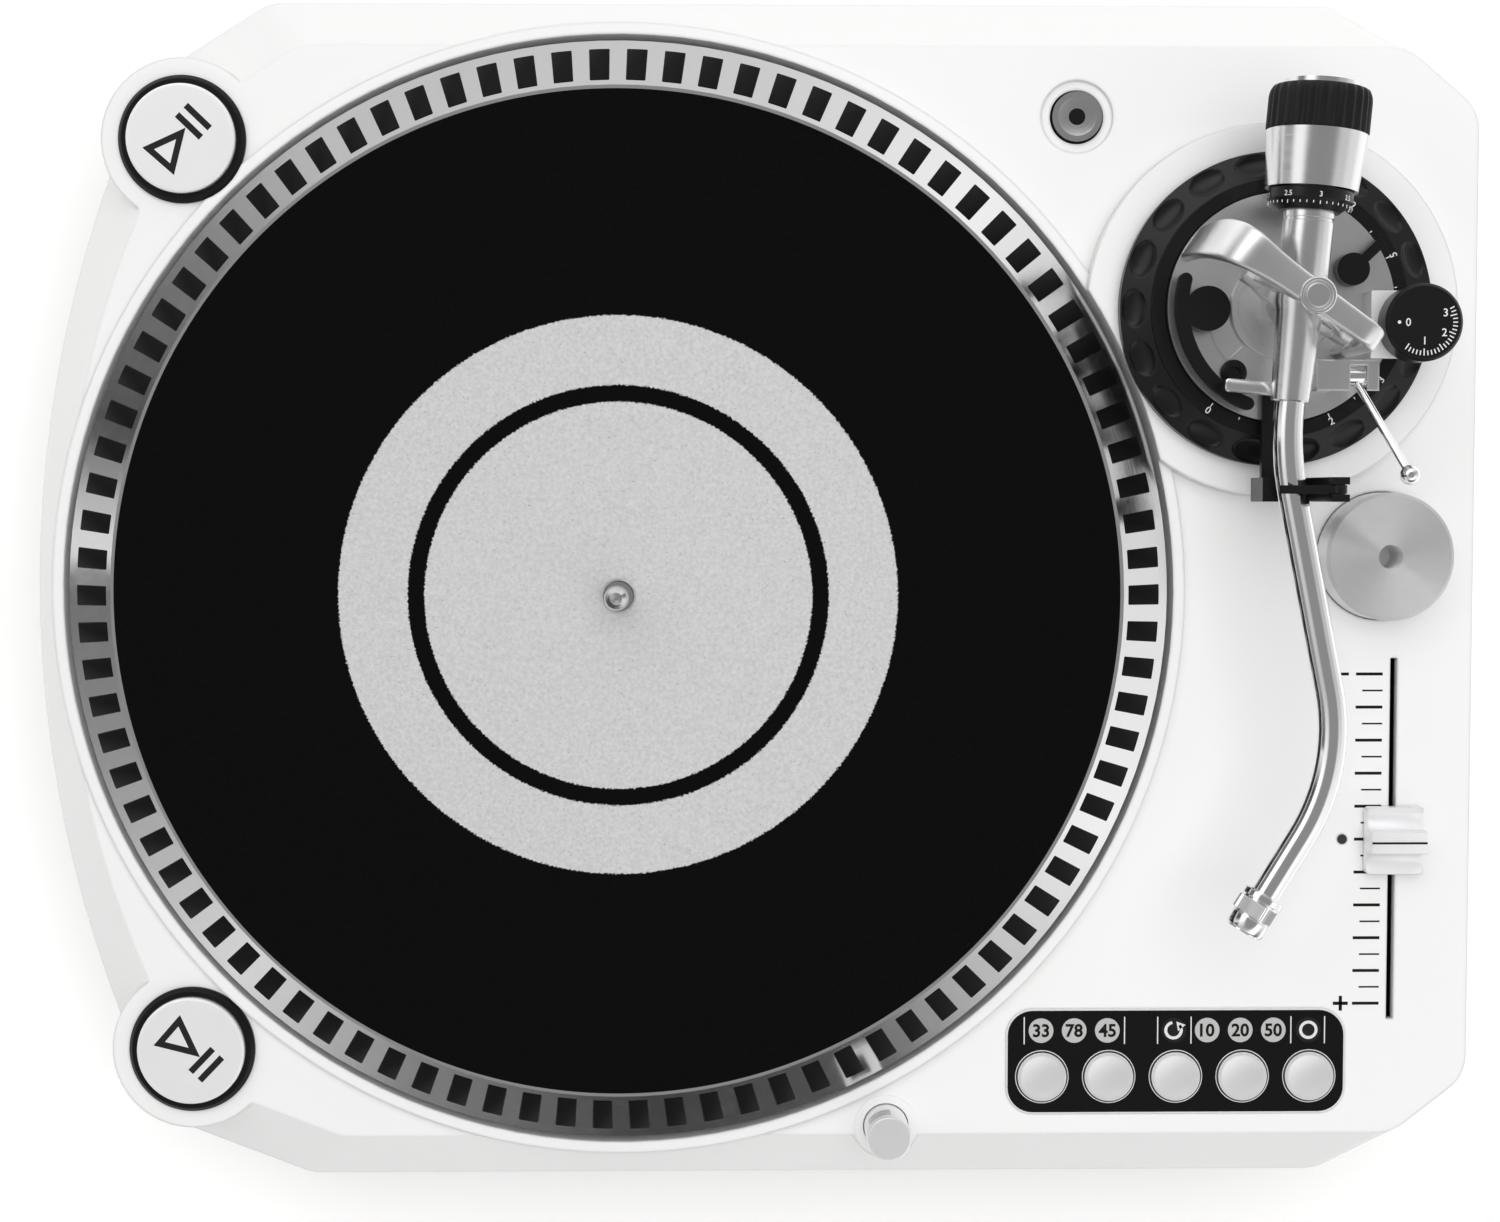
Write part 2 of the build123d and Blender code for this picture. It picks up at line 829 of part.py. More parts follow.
# Circuit boards and transformer
for name, (x, y, length, width) in board_sizes.items():
    with BuildPart() as board:
        block(x, y, length, width, board_level, board_level + board_thickness)
        with Locations((x - chip_offset, y, board_level + board_thickness)):
            Box(chip_size, chip_size, chip_height, align=UPRIGHT)
        with Locations((x + capacitor_offset, y, board_level + board_thickness)):
            with GridLocations(capacitor_pitch, capacitor_rows_apart, capacitor_columns, capacitor_rows):
                Cylinder(capacitor_radius, capacitor_height, align=UPRIGHT)
    save(board, name)

with BuildPart() as transformer:
    post(transformer_x, transformer_y, transformer_radius, tray_top_of_floor,
         tray_top_of_floor + transformer_height)
    fillet(transformer.edges().filter_by(GeomType.CIRCLE), transformer_round)
    post(transformer_x, transformer_y, transformer_hole, tray_top_of_floor,
         tray_top_of_floor + transformer_height,
         Mode.SUBTRACT)
save(transformer, "transformer")

# Start buttons and their bezels
for name, y in start_places.items():
    with BuildPart() as bezel:
        post(start_x, y, start_bezel_radius, deck, deck + start_bezel_height)
        chamfer(bezel.faces().sort_by(Axis.Z)[-1].edges(), start_bezel_height / 2)
        post(start_x, y, start_hole - running_gap, deck - start_skirt + button_travel_room, deck)
        post(start_x, y, start_radius + button_gap, deck - start_skirt, deck + start_bezel_height,
             Mode.SUBTRACT)
    save(bezel, f"start_bezel_{name}")

    with BuildPart() as button:
        post(start_x, y, start_radius, deck - start_skirt, deck + start_proud)
        fillet(button.faces().sort_by(Axis.Z)[-1].edges(), start_edge)
    save(button, f"start_button_{name}")

# Motor switch with a dished cap
switch_top = deck + motor_switch_proud
with BuildPart() as motor_switch:
    post(motor_switch_x, motor_switch_y, motor_switch_radius, switch_top - motor_switch_skirt, switch_top)
    with Locations((motor_switch_x, motor_switch_y, switch_top + dish_radius - motor_switch_dish)):
        Sphere(dish_radius, mode=Mode.SUBTRACT)
save(motor_switch, "motor_switch")

# Control panel, its lenses, buttons and board
panel_top = deck + panel_proud
panel_under = panel_top - panel_thickness
panel_board_top = deck - panel_board_drop
panel_legs = [(side * (panel_length / 2 - panel_leg_inset),
               panel_width / 2 - panel_corner / 2) for side in (-1, 1)]
panel_legs += [(side * panel_leg_pitches * panel_button_pitch,
                panel_corner / 2 - panel_width / 2) for side in (-1, 1)]
with BuildPart() as control_panel:
    rounded_block(panel_x, panel_y, panel_length, panel_width, panel_corner, panel_under, panel_top)
    for x, y in panel_legs:
        post(panel_x + x, panel_y + y, panel_leg_radius, panel_board_top, panel_under)
    for x in panel_button_xs:
        post(x, panel_button_y, panel_button_radius + button_gap, panel_under, panel_top, Mode.SUBTRACT)
    for x in legend_offsets:
        post(panel_x + x, legend_y, legend_radius + running_gap, panel_top - legend_thickness, panel_top,
             Mode.SUBTRACT)
save(control_panel, "control_panel")

with BuildPart() as legend_lenses:
    for x in legend_offsets:
        post(panel_x + x, legend_y, legend_radius, panel_top - legend_thickness, panel_top)
save(legend_lenses, "legend_lenses")

with BuildPart() as control_board:
    block(panel_x, panel_y, panel_length, panel_width, panel_board_top - board_thickness, panel_board_top)
save(control_board, "control_board")

panel_button_top = deck + panel_button_proud
for index, x in enumerate(panel_button_xs, start=1):
    with BuildPart() as key:
        post(x, panel_button_y, panel_button_radius, panel_button_top - panel_button_skirt, panel_button_top)
        with Locations((x, panel_button_y, panel_button_top + dish_radius - panel_button_dish)):
            Sphere(dish_radius, mode=Mode.SUBTRACT)
    save(key, f"panel_button_{index}")

# Stylus lamp: sleeve, sliding barrel and a lens facing the platter
lamp_facing = Vector(platter_x - lamp_x, platter_y - lamp_y, 0).normalized()
lens_top = deck + lamp_rise - lamp_lens_drop
lens_plane = Plane(origin=(lamp_x, lamp_y, lens_top - lamp_lens_height / 2), x_dir=(0, 0, 1),
                   z_dir=lamp_facing)
with BuildPart() as lamp_sleeve:
    post(lamp_x, lamp_y, lamp_hole - running_gap, deck - lamp_below, deck)
    post(lamp_x, lamp_y, lamp_hole + lamp_boss_wall / 2, deck, deck + lamp_flange)
    post(lamp_x, lamp_y, lamp_radius + button_gap, deck - lamp_below, deck + lamp_flange, Mode.SUBTRACT)
save(lamp_sleeve, "lamp_sleeve")

with BuildPart() as lamp_barrel:
    post(lamp_x, lamp_y, lamp_radius, deck - lamp_below, deck + lamp_rise)
    fillet(lamp_barrel.faces().sort_by(Axis.Z)[-1].edges(), lamp_edge)
    with BuildSketch(lens_plane.offset(lamp_radius - lamp_lens_depth)):
        Rectangle(lamp_lens_height, lamp_lens_width)
    extrude(amount=lamp_radius, mode=Mode.SUBTRACT)
save(lamp_barrel, "lamp_barrel")

with BuildPart() as lamp_lens:
    post(lamp_x, lamp_y, lamp_radius - running_gap, lens_top - lamp_lens_height, lens_top)
    with BuildSketch(lens_plane.offset(lamp_radius - lamp_lens_depth)):
        Rectangle(lamp_lens_height, lamp_lens_width - running_gap)
    extrude(amount=lamp_radius, mode=Mode.INTERSECT)
save(lamp_lens, "lamp_lens")

# Pitch fader: track under the deck, cap on a stem through the slot, centre lamp
fader_cap_low = deck + fader_cap_gap
with BuildPart() as fader_track:
    block(fader_x, fader_y, fader_body_width, fader_slot_length + 2 * fader_body_margin,
          deck_under - fader_body_height, deck_under)
    block(fader_x, fader_y, fader_slot_width, fader_slot_length,
          deck_under - fader_stem_depth - fader_stem_clear, deck_under,
          Mode.SUBTRACT)
save(fader_track, "fader_track")

with BuildPart() as fader_cap:
    rounded_block(fader_x, fader_y, fader_cap_x, fader_cap_y, fader_cap_corner, fader_cap_low,
                  fader_cap_low + fader_cap_height)
    chamfer(fader_cap.faces().sort_by(Axis.Z)[-1].edges(), fader_cap_edge)
    block(fader_x, fader_y, fader_cap_x - fader_cap_edge, fader_ridge_y, fader_cap_low,
          fader_cap_low + fader_cap_height + fader_ridge_height)
    block(fader_x, fader_y, fader_stem_width, fader_stem_length, deck_under - fader_stem_depth,
          fader_cap_low)
save(fader_cap, "fader_cap")

with BuildPart() as fader_lamp:
    post(fader_x - fader_lamp_offset, fader_y, fader_lamp_radius - running_gap, deck_under,
         deck + fader_lamp_proud)
save(fader_lamp, "fader_lamp")

with BuildPart() as record_adapter:
    turned((adapter_x, adapter_y, adapter_floor), up, [
        (spindle_radius + adapter_hole_gap, 0),
        (adapter_radius, 0),
        (adapter_radius, adapter_height - adapter_edge),
        (adapter_radius - adapter_edge, adapter_height),
        (spindle_radius + adapter_hole_gap, adapter_height),
    ])
save(record_adapter, "record_adapter")

# Height ring on a fixed collar, and the arm base that slides up inside it
pivot_axis = (pivot_x, pivot_y, 0)
with BuildPart() as ring_collar:
    post(pivot_x, pivot_y, collar_radius, deck - collar_below_deck, collar_top)
    post(pivot_x, pivot_y, collar_radius + collar_flange, deck_under - collar_flange_height, deck_under)
    post(pivot_x, pivot_y, collar_bore, deck - collar_below_deck, collar_top, Mode.SUBTRACT)
save(ring_collar, "ring_collar")

ring_fall = (ring_height - ring_step - ring_rim_height) / (ring_radius - ring_step_radius)
dimple_level = ring_top - ring_step - ring_fall * (ring_dimple_circle - ring_step_radius)
with BuildPart() as height_ring:
    turned(pivot_axis, up, [
        (collar_radius + running_gap, ring_bottom),
        (ring_radius, ring_bottom),
        (ring_radius, ring_bottom + ring_rim_height),
        (ring_step_radius, ring_top - ring_step),
        (ring_step_radius, ring_top),
        (collar_radius + running_gap, ring_top),
    ])
    with Locations((pivot_x, pivot_y, dimple_level + ring_dimple_radius - ring_dimple_depth)):
        with PolarLocations(ring_dimple_circle, ring_dimple_count):
            Sphere(ring_dimple_radius, mode=Mode.SUBTRACT)
save(height_ring, "height_ring")

gimbal_low = arm_z - gimbal_outer
pillar_top = gimbal_low - bridge_gap
pin_low = base_top + pivot_pin_foot
lock_spot = (pivot_x + lock_x, pivot_y + lock_y)
cue_post_spot = (pivot_x + cue_post_x, pivot_y + cue_post_y)
skate_spot = (pivot_x + skate_x, pivot_y + skate_y)
cue_axis_z = base_top + cue_lever_over_base
cue_axle_spot = Vector(pivot_x + cue_lever_x, pivot_y + cue_lever_y, cue_axis_z)
cue_ear_outer = cue_ear_inner + cue_ear
cue_ears = [side * (cue_ear_inner + cue_ear / 2) for side in (-1, 1)]
with BuildPart() as arm_base_plate:
    post(pivot_x, pivot_y, base_plate_radius, base_bottom, base_top)
    post(pivot_x, pivot_y, collar_bore - running_gap, deck - base_stem_below, base_bottom)
    post(pivot_x, pivot_y, collar_bore - base_stem_wall, deck - base_stem_below, base_bottom, Mode.SUBTRACT)
    post(pivot_x, pivot_y, pivot_pillar_radius, base_top, pillar_top)
    post(pivot_x, pivot_y, pivot_pin_radius + running_gap, pin_low, pillar_top, Mode.SUBTRACT)
    post(*cue_post_spot, cue_post_radius + running_gap, deck - base_stem_below, base_top, Mode.SUBTRACT)
    post(*lock_spot, lock_pin_radius + running_gap, base_bottom, base_top, Mode.SUBTRACT)
    for x in cue_ears:
        block(cue_axle_spot.X + x, cue_axle_spot.Y, cue_ear, 2 * cue_ear_reach, base_top,
              cue_axis_z + cue_ear_reach)
    rod(cue_axle_spot - Vector(cue_ear_outer + cut_over, 0, 0), Vector(1, 0, 0),
        cue_pin_radius + running_gap,
        2 * (cue_ear_outer + cut_over), Mode.SUBTRACT)
save(arm_base_plate, "arm_base_plate")

# Bridge that holds the top of the vertical pivot; its local x runs along the bridge
wing_outer = wing_inner + wing_leg
bridge_end = bridge_leg_inner + bridge_leg
bridge_frame = Location((pivot_x, pivot_y, 0), (0, 0, bridge_angle))
bridge_blocks = [
    (-wing_outer - wing_overhang, bridge_end, bridge_width, bridge_under, bridge_top),
    (-wing_outer - wing_overhang, wing_overhang - wing_inner, wing_width, bridge_under, bridge_top),
    (-wing_outer, -wing_inner, wing_leg_width, base_top, bridge_under),
    (bridge_leg_inner, bridge_end, bridge_leg_width, base_top, bridge_under),
]
with BuildPart() as pivot_bridge:
    with Locations(bridge_frame):
        for start, end, width, low, high in bridge_blocks:
            with Locations(((start + end) / 2, 0, low)):
                Box(end - start, width, high - low, align=UPRIGHT)
    post(pivot_x, pivot_y, pivot_screw_radius, bridge_top, bridge_top + pivot_screw_height)
    block(pivot_x, pivot_y, 2 * pivot_screw_radius, pivot_screw_slot, bridge_top + pivot_screw_height / 2,
          bridge_top + pivot_screw_height, Mode.SUBTRACT)
    post(pivot_x, pivot_y, axle_radius + running_gap, bridge_under, bridge_under + top_pin_bore,
         Mode.SUBTRACT)
save(pivot_bridge, "pivot_bridge")

# Gimbal ring: turns about the vertical pivot and carries the tilt axle
gimbal_plane = Plane(origin=arm_pivot, x_dir=tilt_dir, z_dir=tilt_dir.cross(up))
with BuildPart() as gimbal_ring:
    with BuildSketch(gimbal_plane):
        Circle(gimbal_outer)
    extrude(amount=gimbal_width / 2, both=True)
    for side in (-1, 1):
        rod(arm_pivot, tilt_dir * side, gimbal_boss_radius, gimbal_outer + gimbal_boss_length)
    with BuildSketch(gimbal_plane):
        Circle(gimbal_inner)
    extrude(amount=gimbal_width, both=True, mode=Mode.SUBTRACT)
    rod(arm_pivot - tilt_dir * axle_reach, tilt_dir, axle_radius + running_gap, 2 * axle_reach,
        Mode.SUBTRACT)
    post(pivot_x, pivot_y, pivot_pin_radius, pin_low + thrust_gap, gimbal_low + gimbal_wall / 2)
    post(pivot_x, pivot_y, axle_radius, arm_z + gimbal_outer - gimbal_wall / 2,
         bridge_under + top_pin_bore - thrust_gap)
save(gimbal_ring, "gimbal_ring")

# Arm housing: body, tilt axle, finger over the cue lift and stub for the counterweight
with BuildPart() as arm_housing:
    with BuildSketch(Plane(origin=arm_pivot - arm_back * housing_front, x_dir=arm_side, z_dir=arm_back)):
        RectangleRounded(housing_front_size, housing_front_size, housing_round)
    with BuildSketch(Plane(origin=arm_pivot + arm_back * housing_rear, x_dir=arm_side, z_dir=arm_back)):
        RectangleRounded(housing_rear_width, housing_rear_height, housing_round)
    loft(ruled=True)
    rod(arm_pivot - tilt_dir * (axle_reach - thrust_gap), tilt_dir, axle_radius,
        2 * (axle_reach - thrust_gap))
    rod(arm_pivot, arm_back, stub_radius, housing_rear + stub_length)
    with Locations(Location(arm_pivot, (0, 0, -arm_angle))):
        with Locations((-finger_reach / 2, -finger_at, -finger_drop - finger_thickness)):
            Box(finger_reach, finger_width, finger_thickness, align=UPRIGHT)
save(arm_housing, "arm_housing")

# S-shaped arm tube with the headshell socket at its end
tube_start = arm_pivot - arm_back * housing_front
bend_one = arm_pivot - arm_back * tube_bend_one_at
bend_two = arm_pivot + Vector(*tube_bend_two)
tube_tip = arm_pivot + Vector(*tube_end)
head_dir = (tube_tip - bend_two).normalized()
with BuildPart() as arm_tube:
    with BuildLine() as tube_path:
        FilletPolyline(tube_start, bend_one, bend_two, tube_tip, radius=[tube_bend_one_radius,
                                                                         tube_bend_two_radius])
    with BuildSketch(Plane(origin=tube_start, z_dir=-arm_back)):
        Circle(tube_radius)
        Circle(tube_radius - tube_wall, mode=Mode.SUBTRACT)
    sweep(path=tube_path.wire())
    rod(tube_tip, head_dir, socket_radius, socket_length)
    rod(tube_tip + head_dir * (socket_length - socket_depth), head_dir, socket_bore, socket_depth,
        Mode.SUBTRACT)
save(arm_tube, "arm_tube")

with BuildPart() as locking_collar:
    with BuildSketch(Plane(origin=tube_tip + head_dir * thrust_gap, z_dir=head_dir)):
        Circle(lock_collar_radius)
        with PolarLocations(lock_collar_radius, lock_collar_flutes):
            Circle(lock_collar_flute, mode=Mode.SUBTRACT)
        Circle(socket_radius + running_gap, mode=Mode.SUBTRACT)
    extrude(amount=lock_collar_length)
save(locking_collar, "locking_collar")

# Counterweight with its rubber grip, and the dial ring in front of it
grip_start = weight_start + weight_barrel_length
grip_end = grip_start + weight_grip_length
weight_end = grip_end + weight_cap_length
stub_end = housing_rear + stub_length
with BuildPart() as counterweight:
    turned(arm_pivot, arm_back, [
        (stub_radius + running_gap, weight_start),
        (weight_barrel_front_radius, weight_start),
        (weight_barrel_rear_radius, grip_start),
        (weight_cap_radius, grip_start),
        (weight_cap_radius, weight_end),
        (0, weight_end),
        (0, stub_end + thrust_gap),
        (stub_radius + running_gap, stub_end + thrust_gap),
    ])
save(counterweight, "counterweight")

with BuildPart() as weight_grip:
    with BuildSketch(Plane(origin=arm_pivot + arm_back * grip_start, z_dir=arm_back)):
        Circle(weight_grip_radius)
        with PolarLocations(weight_grip_radius, weight_flutes):
            Circle(weight_flute, mode=Mode.SUBTRACT)
        Circle(weight_cap_radius + running_gap, mode=Mode.SUBTRACT)
    extrude(amount=weight_grip_length)
save(weight_grip, "weight_grip")

dial_end = weight_start - dial_gap
with BuildPart() as stylus_force_dial:
    turned(arm_pivot, arm_back, [
        (stub_radius + running_gap, dial_end - dial_length),
        (dial_small_radius, dial_end - dial_length),
        (dial_radius, dial_end - dial_length / 2),
        (dial_radius, dial_end),
        (stub_radius + running_gap, dial_end),
    ])
save(stylus_force_dial, "stylus_force_dial")

# Anti-skating bracket and knob
bracket_low = base_top + skate_bracket_height
bracket_top = bracket_low + skate_bracket_thickness
bracket_length = skate_x - skate_bracket_start
with BuildPart() as skate_bracket:
    block(pivot_x + skate_bracket_start + bracket_length / 2, skate_spot[1], bracket_length,
          skate_bracket_width,
          bracket_low, bracket_top)
    post(*skate_spot, skate_bracket_width / 2, bracket_low, bracket_top)
    block(pivot_x + skate_bracket_start + skate_bracket_thickness / 2, skate_spot[1],
          skate_bracket_thickness,
          skate_bracket_width, base_top, bracket_low)
    post(*skate_spot, skate_pin_radius + running_gap, bracket_low, bracket_top, Mode.SUBTRACT)
save(skate_bracket, "skate_bracket")

knob_low = bracket_top + ring_seat_gap
with BuildPart() as skate_knob:
    post(*skate_spot, skate_radius, knob_low, knob_low + skate_knob_height)
    chamfer(skate_knob.faces().sort_by(Axis.Z)[-1].edges(), skate_knob_edge)
    post(*skate_spot, skate_pin_radius, bracket_low, knob_low)
save(skate_knob, "skate_knob")

# Cue lift: a curved bar on a post that slides in the arm base
cue_low = base_top + cue_over_base
cue_top = cue_low + cue_thickness
with BuildPart() as cue_lift:
    with BuildSketch(Plane.XY.offset(cue_low)):
        with BuildLine():
            CenterArc((pivot_x, pivot_y), cue_radius, cue_start_angle, cue_end_angle - cue_start_angle)
            offset(amount=cue_width / 2, side=Side.BOTH)
        make_face()
    extrude(amount=cue_thickness)
    post(*cue_post_spot, cue_lobe_radius, cue_low, cue_top)
    post(*cue_post_spot, cue_post_radius, base_top - cue_post_length, cue_low)
save(cue_lift, "cue_lift")

# Cue lever: a rod with a ball on an axle between two ears of the arm base
cue_ball_spot = Vector(pivot_x + cue_ball_x, pivot_y + cue_ball_y, cue_axis_z + cue_ball_rise)
cue_reach = cue_ball_spot - cue_axle_spot
with BuildPart() as cue_lever:
    rod(cue_axle_spot - Vector(cue_ear_inner - thrust_gap, 0, 0), Vector(1, 0, 0), cue_barrel_radius,
        2 * (cue_ear_inner - thrust_gap))
    rod(cue_axle_spot - Vector(cue_ear_outer, 0, 0), Vector(1, 0, 0), cue_pin_radius, 2 * cue_ear_outer)
    rod(cue_axle_spot, cue_reach.normalized(), cue_rod_radius, cue_reach.length)
    with Locations(cue_ball_spot):
        Sphere(cue_ball_radius)
save(cue_lever, "cue_lever")

# Height lock lever
lock_low = base_top + ring_seat_gap
lock_frame = Location((*lock_spot, lock_low), (0, 0, lock_angle))
with BuildPart() as lock_lever:
    post(*lock_spot, lock_radius, lock_low, lock_low + lock_height)
    with Locations(lock_frame):
        with Locations((lock_reach / 2, 0, 0)):
            Box(lock_reach, lock_arm_width, lock_height, align=UPRIGHT)
    post(*lock_spot, lock_pin_radius, lock_low - lock_pin_length, lock_low)
save(lock_lever, "lock_lever")

# Arm rest on the arm base, and the clip that closes over the tube
rest_front = rest_y - rest_depth / 2
rest_right = rest_right_x + rest_right_width
rest_top = base_top + rest_bar_thickness
rest_left_top = arm_z - tube_radius - rest_below_tube
clip_low = arm_z + tube_radius + clip_over_tube
clip_axis_z = clip_low + clip_thickness / 2
clip_axis_x = pivot_x + rest_right_x + rest_right_width / 2
clip_slot = clip_width + 2 * clip_gap
with BuildPart() as arm_rest:
    block(pivot_x, pivot_y + (rest_front - rest_bar_start) / 2, rest_bar_width, -rest_front - rest_bar_start,
          base_top, rest_top)
    block(pivot_x + (rest_left_x + rest_right) / 2, pivot_y + rest_y, rest_right - rest_left_x, rest_depth,
          base_top, rest_top)
    block(pivot_x + rest_left_x + rest_left_width / 2, pivot_y + rest_y, rest_left_width, rest_depth,
          rest_top, rest_left_top)
    block(clip_axis_x, pivot_y + rest_y, rest_right_width, rest_depth, rest_top,
          clip_axis_z + clip_barrel_radius)
    block(clip_axis_x, pivot_y + rest_y, rest_right_width, clip_slot,
          clip_axis_z - clip_barrel_radius - clip_gap,
          clip_axis_z + clip_barrel_radius, Mode.SUBTRACT)
    rod((clip_axis_x, pivot_y + rest_y - rest_depth, clip_axis_z), Vector(0, 1, 0),
        clip_pin_radius + running_gap,
        2 * rest_depth, Mode.SUBTRACT)
save(arm_rest, "arm_rest")

with BuildPart() as rest_clip:
    rod((clip_axis_x, pivot_y + rest_y - clip_width / 2, clip_axis_z), Vector(0, 1, 0), clip_barrel_radius,
        clip_width)
    rod((clip_axis_x, pivot_y + rest_y - rest_depth / 2, clip_axis_z), Vector(0, 1, 0), clip_pin_radius,
        rest_depth)
    block(clip_axis_x - clip_overhang / 2, pivot_y + rest_y, clip_overhang, clip_width, clip_low,
          clip_low + clip_thickness)
save(rest_clip, "rest_clip")

# Rear connections, in a shallow tray behind a window in the rear wall
rear_axis = Vector(0, 1, 0)


def rear_box(x, width, height, start, end, mode=Mode.ADD):
    """Box at the middle height of the rear tray, between two distances from the front."""
    with Locations((x, (start + end) / 2, rear_mid)):
        Box(width, end - start, height, mode=mode)


inlet_x = rear_x + inlet_from_middle
usb_x = rear_x + usb_from_middle
line_switch_x = rear_x + line_switch_from_middle
rca_xs = [rear_x + rca_from_middle + side * rca_pitch / 2 for side in (-1, 1)]
line_slot = line_switch_stem + line_switch_travel + 2 * line_switch_gap
with BuildPart() as rear_panel:
    rear_box(rear_x, rear_length, rear_height, rear_face - rear_wall, rear_inner_wall)
    rear_box(rear_x, rear_length - 2 * rear_wall, rear_height - 2 * rear_wall, rear_face, rear_inner_wall,
             Mode.SUBTRACT)
    rear_box(inlet_x, inlet_width, inlet_height, rear_face - rear_wall, rear_face, Mode.SUBTRACT)
    rear_box(usb_x, usb_width, usb_height, rear_face - rear_wall, rear_face, Mode.SUBTRACT)
    rear_box(line_switch_x + line_switch_travel / 2, line_slot, line_switch_stem + 2 * line_switch_gap,
             rear_face - rear_wall, rear_face, Mode.SUBTRACT)
save(rear_panel, "rear_panel")

with BuildPart() as rca_jacks:
    for x in rca_xs:
        rod((x, rear_face, rear_mid), rear_axis, rca_radius, rca_length)
        rod((x, rear_face + rca_length - rca_bore_depth, rear_mid), rear_axis, rca_bore, rca_bore_depth,
            Mode.SUBTRACT)
save(rca_jacks, "rca_jacks")

with BuildPart() as ground_terminal:
    rod((rear_x + ground_from_middle, rear_face, rear_mid), rear_axis, ground_neck_radius, ground_length)
    rod((rear_x + ground_from_middle, rear_face + ground_neck_length, rear_mid), rear_axis, ground_radius,
        ground_length - ground_neck_length)
save(ground_terminal, "ground_terminal")

with BuildPart() as usb_socket:
    rear_box(usb_x, usb_width, usb_height, rear_face - usb_depth, rear_face)
    rear_box(usb_x, usb_width - 2 * usb_wall, usb_height - 2 * usb_wall,
             rear_face - usb_depth + socket_floor,
             rear_face, Mode.SUBTRACT)
save(usb_socket, "usb_socket")

with BuildPart() as mains_inlet:
    rear_box(inlet_x, inlet_width, inlet_height, rear_face - inlet_depth, rear_face)
    rear_box(inlet_x, inlet_width - 2 * inlet_wall, inlet_height - 2 * inlet_wall,
             rear_face - inlet_depth + socket_floor, rear_face, Mode.SUBTRACT)
    for x, z in ((-inlet_pin_pitch, 0), (0, inlet_pin_rise), (inlet_pin_pitch, 0)):
        with Locations((inlet_x + x, rear_face - inlet_depth + pin_blade_length / 2, rear_mid + z)):
            Box(pin_blade_width, pin_blade_length, pin_blade_height)
save(mains_inlet, "mains_inlet")

with BuildPart() as line_switch:
    rear_box(line_switch_x, line_switch_size, line_switch_size, rear_face + line_switch_gap,
             rear_face + line_switch_gap + line_switch_proud)
    rear_box(line_switch_x, line_switch_stem, line_switch_stem, rear_face - rear_wall,
             rear_face + line_switch_gap)
save(line_switch, "line_switch")
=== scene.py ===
"""Looks of a direct-drive record player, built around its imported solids.

The file is laid out as an add-on: property groups hold the sizes and colours that a user would
change, one operator makes each group of pieces, and main() calls them in order.
"""
import json
import math

import bmesh
import bpy
import numpy as np
from bpy.props import FloatProperty, FloatVectorProperty, IntProperty, PointerProperty
from mathutils import Matrix, Vector


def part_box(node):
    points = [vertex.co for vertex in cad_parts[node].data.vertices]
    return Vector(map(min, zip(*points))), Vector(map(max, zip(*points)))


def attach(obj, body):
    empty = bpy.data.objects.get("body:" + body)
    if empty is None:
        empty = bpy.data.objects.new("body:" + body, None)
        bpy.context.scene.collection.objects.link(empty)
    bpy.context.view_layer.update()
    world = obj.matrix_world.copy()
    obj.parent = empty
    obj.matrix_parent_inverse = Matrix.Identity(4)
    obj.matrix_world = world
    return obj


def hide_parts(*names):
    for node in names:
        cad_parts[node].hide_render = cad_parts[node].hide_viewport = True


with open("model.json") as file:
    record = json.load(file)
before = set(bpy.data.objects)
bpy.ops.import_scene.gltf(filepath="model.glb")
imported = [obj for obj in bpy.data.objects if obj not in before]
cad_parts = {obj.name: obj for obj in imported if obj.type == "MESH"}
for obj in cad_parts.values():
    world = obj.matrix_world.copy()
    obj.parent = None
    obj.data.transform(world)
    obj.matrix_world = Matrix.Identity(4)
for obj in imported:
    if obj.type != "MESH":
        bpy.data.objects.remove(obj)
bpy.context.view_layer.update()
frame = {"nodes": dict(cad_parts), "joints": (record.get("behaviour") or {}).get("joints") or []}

bl_info = {
    "name": "Record player looks",
    "version": (1, 0, 0),
    "blender": (4, 5, 0),
    "location": "View3D > Sidebar > Player",
    "description": "Finishes, printed marks and fine pieces of a record player",
    "category": "Object",
}

MM = 0.001
IMAGE_WIDTH = 1500  # pixels of the photograph
SENSOR_WIDTH = 36.0  # millimetres
UP = Vector((0, 0, 1))
NEARLY_UP = 0.9  # an axis with more than this of Z counts as upright
MERGE = 1e-7  # points closer than this become one
SHARP = math.radians(40)  # edges with a larger turn stay sharp
EM_PER_DIGIT = 1.4  # type size over the height of a digit
GRAIN_DEPTH = 0.2 * MM
GROOVE_PITCH = 0.08 * MM
TRACK_UNDER_DECK = 3.5 * MM  # top of the fader's track, below the deck
PLATE_TOP = 111.8 * MM  # flat top of the arm's base plate, above the floor


# Places taken from the frame

def joint(name):
    """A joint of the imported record, by name."""
    return next(j for j in frame["joints"] if j["name"] == name)


def middle(node):
    """Middle of a node in plan, at the height of its top."""
    low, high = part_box(node)
    return Vector(((low.x + high.x) / 2, (low.y + high.y) / 2, high.z))


def half_span(node):
    """Half of a node's width along X."""
    low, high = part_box(node)
    return (high.x - low.x) / 2


def foot(place):
    """The point of the floor under a place."""
    return Vector((place.x, place.y, 0))


PIVOT = Vector(joint("arm_tilt")["pos_m"])
ARM_BACK = Vector(joint("weight_turn")["axis"]).normalized()
HEAD_START = Vector(joint("collar_turn")["pos_m"])
HEAD_DIR = Vector(joint("collar_turn")["axis"]).normalized()
PLATTER = Vector(joint("platter_spin")["pos_m"])
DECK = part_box("fader_track")[1].z + TRACK_UNDER_DECK


# Sizes and colours

